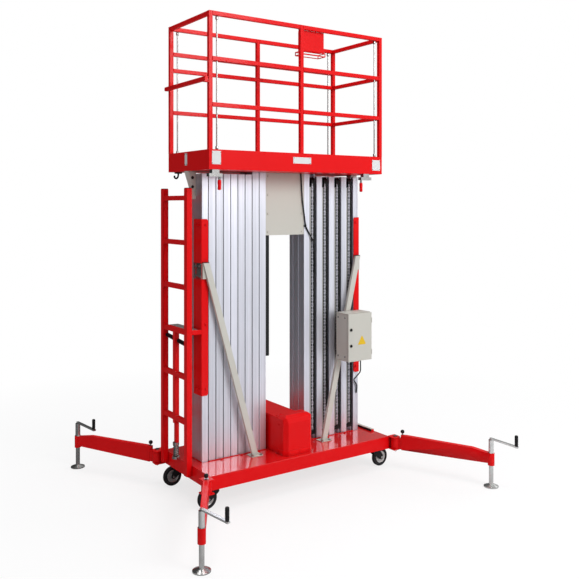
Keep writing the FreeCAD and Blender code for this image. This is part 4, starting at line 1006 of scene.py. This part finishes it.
# Control box: blank warning triangle, locks, rain edge, door gasket, cable glands and screws.
boxSet = {
    "left": 0.470, "right": 0.717, "front": -0.310, "back": -0.148, "low": 0.914, "high": 1.306,
    "triangleAt": (0.612, 1.086), "triangleHalf": (0.044, 0.03828), "triangleRound": 0.006,
    "triangleThick": 0.001, "triangleBevel": 0.0003,
    "lockX": 0.497, "lockZ": (1.176, 1.044), "key": ((0.004, 0.003, 0.016), 0.001), "keyOut": 0.011,
    "lock": [(0, 0), (0.012, 0), (0.012, 0.003), (0.008, 0.006), (0.008, 0.010), (0, 0.010)],
    "hoodOver": 0.003, "hoodBack": 0.022, "hoodThick": 0.004, "hoodRound": 0.0015, "hoodUp": 0.001,
    "gasket": 0.0016, "gasketIn": 0.001, "gasketY": -0.2917,
    "gland": [(0, 0), (0.014, 0), (0.014, -0.008), (0.011, -0.010), (0.011, -0.022), (0.006, -0.026),
              (0, -0.026)],
    "glandOff": (-0.06, 0.0, 0.06), "glandY": -0.22,
    "screw": (0.005, 0.004), "screwY": (-0.262, -0.172), "screwZ": (0.95, 1.27),
}


def roundedOutline(corners, radius, steps=6):
    # each corner becomes an arc of the radius that touches both of its sides
    p = np.array(corners, float)
    before, after = np.roll(p, 1, 0) - p, np.roll(p, -1, 0) - p
    before /= np.linalg.norm(before, axis=1)[:, None]
    after /= np.linalg.norm(after, axis=1)[:, None]
    half = np.arccos(np.clip((before * after).sum(1), -1, 1)) / 2
    middle = (before + after) / np.linalg.norm(before + after, axis=1)[:, None]
    centre = p + middle * (radius / np.sin(half))[:, None]
    start = p + before * (radius / np.tan(half))[:, None] - centre
    end = p + after * (radius / np.tan(half))[:, None] - centre
    t = np.linspace(0, 1, steps)[None, :, None]
    arc = start[:, None] * (1 - t) + end[:, None] * t
    arc *= radius / np.linalg.norm(arc, axis=2)[..., None]
    return (centre[:, None] + arc).reshape(-1, 2)


def makeDoorTrim():
    b = boxSet
    halfX, halfZ = b["triangleHalf"]
    outline = roundedOutline([(-halfX, -halfZ), (halfX, -halfZ), (0, halfZ)], b["triangleRound"])
    sign = turned(slab(outline, b["triangleThick"], b["triangleBevel"]), "X", 90)
    x, z = b["triangleAt"]
    piece("box_triangle", "box_door", "blankYellow", moved(sign, (x, b["front"], z)))
    lock = turned(lathe(b["lock"], 20), "X", 90)
    locks = [moved(lock, (b["lockX"], b["front"], z)) for z in b["lockZ"]]
    keys = [boxAt(*b["key"], (b["lockX"], b["front"] - b["keyOut"], z)) for z in b["lockZ"]]
    piece("box_locks", "box_door", "blackPlastic", *locks, *keys)


def makeBoxTrim():
    b = boxSet
    middle, wide, deep = (b["left"] + b["right"]) / 2, b["right"] - b["left"], b["back"] - b["front"]
    size = (wide + 2 * b["hoodOver"], deep - b["hoodBack"], b["hoodThick"])
    place = (middle, (b["front"] + b["back"] + b["hoodBack"]) / 2, b["high"] + b["hoodUp"])
    piece("box_hood", "chassis", "beigePaint", boxAt(size, b["hoodRound"], place))
    inset, y = b["gasketIn"], b["gasketY"]
    ends = (b["left"] + inset, b["right"] - inset)
    lines = [[(x, y, z) for x in ends] for z in (b["low"] + inset, b["high"] - inset)]
    lines += [[(x, y, z) for z in (b["low"], b["high"])] for x in ends]
    piece("box_gasket", "chassis", "blackPlastic", *[sweep(line, b["gasket"], 8) for line in lines])
    glands = [(middle + dx, b["glandY"], b["low"]) for dx in b["glandOff"]]
    piece("box_glands", "chassis", "blackPlastic", moved(lathe(b["gland"], 6), *glands))
    screws = [bolts(*b["screw"], way, [(b[way], y, z) for y in b["screwY"] for z in b["screwZ"]])
              for way in ("left", "right")]
    piece("box_screws", "chassis", "zincPlate", *screws)


makeDoorTrim()
makeBoxTrim()
print("power pack and control box ready")

# Mast: plated corner plates at the brace tops, channel bolts, brace end caps, screws of plate and rests.
mastSet = {
    "channelX": 0.765, "front": -0.087,
    "plateZ": (1.642, 1.763), "plateY": -0.026, "plateDeep": 0.122, "plateThick": 0.003, "plateRound": 0.0012,
    "plateOut": 0.0012, "plateBolt": (0.0075, 0.008), "plateBoltOut": 0.002, "plateBoltY": (-0.062, 0.008),
    "plateBoltOff": 0.036,
    "channelBolt": (0.008, 0.007), "faceX": 0.727, "faceZ": (2.051, 0.816, 1.30), "flankY": (-0.045, 0.005),
    "flankZ": (2.051, 0.816),
    "cap": ((0.056, 0.026, 0.006), 0.0025), "capX": 0.735, "capY": (-0.0935, 0.1435), "capZ": 1.7672,
    # front screws of bridge plate and rests: radius and height, place along X, along Y, heights
    "bridgeScrews": ((0.006, 0.005), 0.165, -0.078, (1.985, 2.13, 2.28, 2.43)),
    "restBolts": ((0.008, 0.008), 0.787, 0.016, (2.34, 2.41)),
}


def makeBracePlates():
    m = mastSet
    low, high = m["plateZ"]
    middle, size = (low + high) / 2, (m["plateThick"], m["plateDeep"], high - low)
    parts = []
    for side, way in flanks:
        place = (side * (m["channelX"] + m["plateOut"]), m["plateY"], middle)
        x = side * (m["channelX"] + m["plateBoltOut"])
        places = [(x, y, middle + up * m["plateBoltOff"]) for y in m["plateBoltY"] for up in sides]
        parts += [boxAt(size, m["plateRound"], place), bolts(*m["plateBolt"], way, places)]
    piece("brace_plates", "chassis", "zincPlate", *parts)


def makeMastTrim():
    m = mastSet
    heads = []
    for side, way in flanks:
        front = [(side * m["faceX"], m["front"], z) for z in m["faceZ"]]
        flank = [(side * m["channelX"], y, z) for y in m["flankY"] for z in m["flankZ"]]
        heads += [bolts(*m["channelBolt"], "front", front), bolts(*m["channelBolt"], way, flank)]
    piece("channel_bolts", "chassis", "redPaint", *heads)
    caps = [(side * m["capX"], y, m["capZ"]) for side in sides for y in m["capY"]]
    piece("brace_caps", "chassis", "blackPlastic", boxAt(*m["cap"], *caps))
    for name, body, coat, key in (("bridge_screws", "platform", "beigePaint", "bridgeScrews"),
                                  ("rest_bolts", "chassis", "blackPaint", "restBolts")):
        size, x, y, heights = m[key]
        piece(name, body, coat, bolts(*size, "front", [(side * x, y, z) for side in sides for z in heights]))


makeBracePlates()
makeMastTrim()
print("mast trim ready")

# Floor, light and camera.
stageSet = {
    "floorHalf": 40.0, "floorTone": 0.60, "floorSeen": 0.98, "floorRoughness": 0.8, "floorShine": 0.1,
    "fadeFrom": (1.6, 4.6), "fadeLevel": (0.74, 1.0),  # distances over which the seen floor turns white
    # painted light in reflections: within this reach the floor tone that glossy rays see goes from dark to
    # pale towards the key lamp
    "mirrorReach": 1.1, "mirrorFloor": (0.16, 0.72),
    # the way to the key lamp, towards which what metal mirrors and the plain light grow brighter
    "mirrorWay": (0.57, -0.82, 0.25), "mirrorFrom": (-0.35, 0.9), "mirrorLevel": (0.05, 1.0),
    "worldTone": (0.96, 0.97, 1.0), "worldFrom": (-0.9, 0.9), "worldLevel": (0.26, 0.62),
    # name, place, watts, width
    "lamps": [("keyLamp", (1.6, -6.5, 5.2), 250.0, 3.2), ("sideLamp", (6.5, -1.0, 3.4), 55.0, 2.8),
              ("topLamp", (-0.5, 0.5, 8.0), 228.0, 4.0)],
    "aim": (0.0, 0.0, 1.5),
}
white = (1, 1, 1, 1)


def paleFloor():
    s = stageSet
    material, tree, shader, out = newMaterial("floorPale")
    shader.inputs["Roughness"].default_value = s["floorRoughness"]
    shader.inputs["Specular IOR Level"].default_value = s["floorShine"]
    glow = add(tree, "Emission", {"Color": white, "Strength": 1.0})
    spot = add(tree, "TexCoord").outputs["Object"]
    away = add(tree, "VectorMath", {0: spot}, operation="LENGTH").outputs["Value"]
    ray = add(tree, "LightPath").outputs
    tone, seenTone = [(*[s[key]] * 3, 1) for key in ("floorTone", "floorSeen")]
    # painted light for reflections: glossy rays see a floor painted paler towards the key lamp and darker away
    # from it
    flatWay = (*s["mirrorWay"][:2], 0)
    lean = add(tree, "VectorMath", {0: spot, 1: flatWay}, operation="DOT_PRODUCT").outputs["Value"]
    shade = fade(tree, lean, -s["mirrorReach"], s["mirrorReach"], *s["mirrorFloor"])
    mirrored = add(tree, "CombineColor", {0: shade, 1: shade, 2: shade}).outputs[0]
    base = mix(tree, ray["Is Glossy Ray"], tone, mirrored)
    tree.links.new(mix(tree, ray["Is Camera Ray"], base, seenTone), shader.inputs["Base Color"])
    share = calc(tree, "MULTIPLY", fade(tree, away, *s["fadeFrom"], *s["fadeLevel"]), ray["Is Camera Ray"])
    both = add(tree, "MixShader", {0: share, 1: shader.outputs[0], 2: glow.outputs[0]})
    tree.links.new(both.outputs[0], out.inputs["Surface"])
    return material


def makeFloor():
    half = stageSet["floorHalf"]
    shape = bpy.data.meshes.new("floor")
    places = [(-half, -half, 0), (half, -half, 0), (half, half, 0), (-half, half, 0)]
    shape.from_pydata(places, [], [(0, 1, 2, 3)])
    shape.materials.append(paleFloor())
    floor = bpy.data.objects.new("floor", shape)
    scene.collection.objects.link(floor)


def makeWorld():
    s = stageSet
    world = bpy.data.worlds.new("studio")
    scene.world = world
    world.use_nodes = True
    tree = world.node_tree
    tree.nodes.clear()
    ray = add(tree, "LightPath").outputs
    lean = add(tree, "VectorMath", {0: add(tree, "TexCoord").outputs["Generated"], 1: s["mirrorWay"]},
               operation="DOT_PRODUCT").outputs["Value"]
    mirror = fade(tree, lean, *s["mirrorFrom"], *s["mirrorLevel"])
    level = fade(tree, lean, *s["worldFrom"], *s["worldLevel"])
    soft = add(tree, "Background", {"Color": (*s["worldTone"], 1), "Strength": level})
    shown = add(tree, "Background", {"Color": white, "Strength": 1.0})
    gloss = add(tree, "Background", {"Color": white, "Strength": mirror})
    first = add(tree, "MixShader", {0: ray["Is Glossy Ray"], 1: soft.outputs[0], 2: gloss.outputs[0]})
    clear = calc(tree, "MAXIMUM", ray["Is Camera Ray"], ray["Is Transmission Ray"])
    second = add(tree, "MixShader", {0: clear, 1: first.outputs[0], 2: shown.outputs[0]})
    add(tree, "OutputWorld", {"Surface": second.outputs[0]})


def makeLamps():
    aim = np.array(stageSet["aim"])
    for name, place, watts, width in stageSet["lamps"]:
        lamp = bpy.data.lights.new(name, "AREA")
        lamp.energy = watts
        lamp.size = width
        obj = bpy.data.objects.new(name, lamp)
        dx, dy, dz = np.array(place) - aim
        obj.location = place
        obj.rotation_euler = (math.atan2(math.hypot(dx, dy), dz), 0, math.atan2(dx, -dy))
        scene.collection.objects.link(obj)


# Level camera whose frame is shifted down, so that upright edges stay upright.
cameraSet = {"place": (-3.504, -5.217, 2.2007), "heading": -34.617, "lens": 47.88, "sensor": 36,
             "shiftY": -0.1458, "clipEnd": 200}


def makeCamera():
    lens = bpy.data.cameras.new("camera")
    lens.sensor_width = cameraSet["sensor"]
    lens.lens = cameraSet["lens"]
    lens.shift_y = cameraSet["shiftY"]
    lens.clip_end = cameraSet["clipEnd"]
    obj = bpy.data.objects.new("camera", lens)
    obj.location = cameraSet["place"]
    obj.rotation_euler = (math.radians(90), 0, math.radians(cameraSet["heading"]))
    scene.collection.objects.link(obj)
    scene.camera = obj


makeFloor()
makeWorld()
makeLamps()
makeCamera()
scene.view_settings.view_transform = "Standard"
print("stage and camera ready")
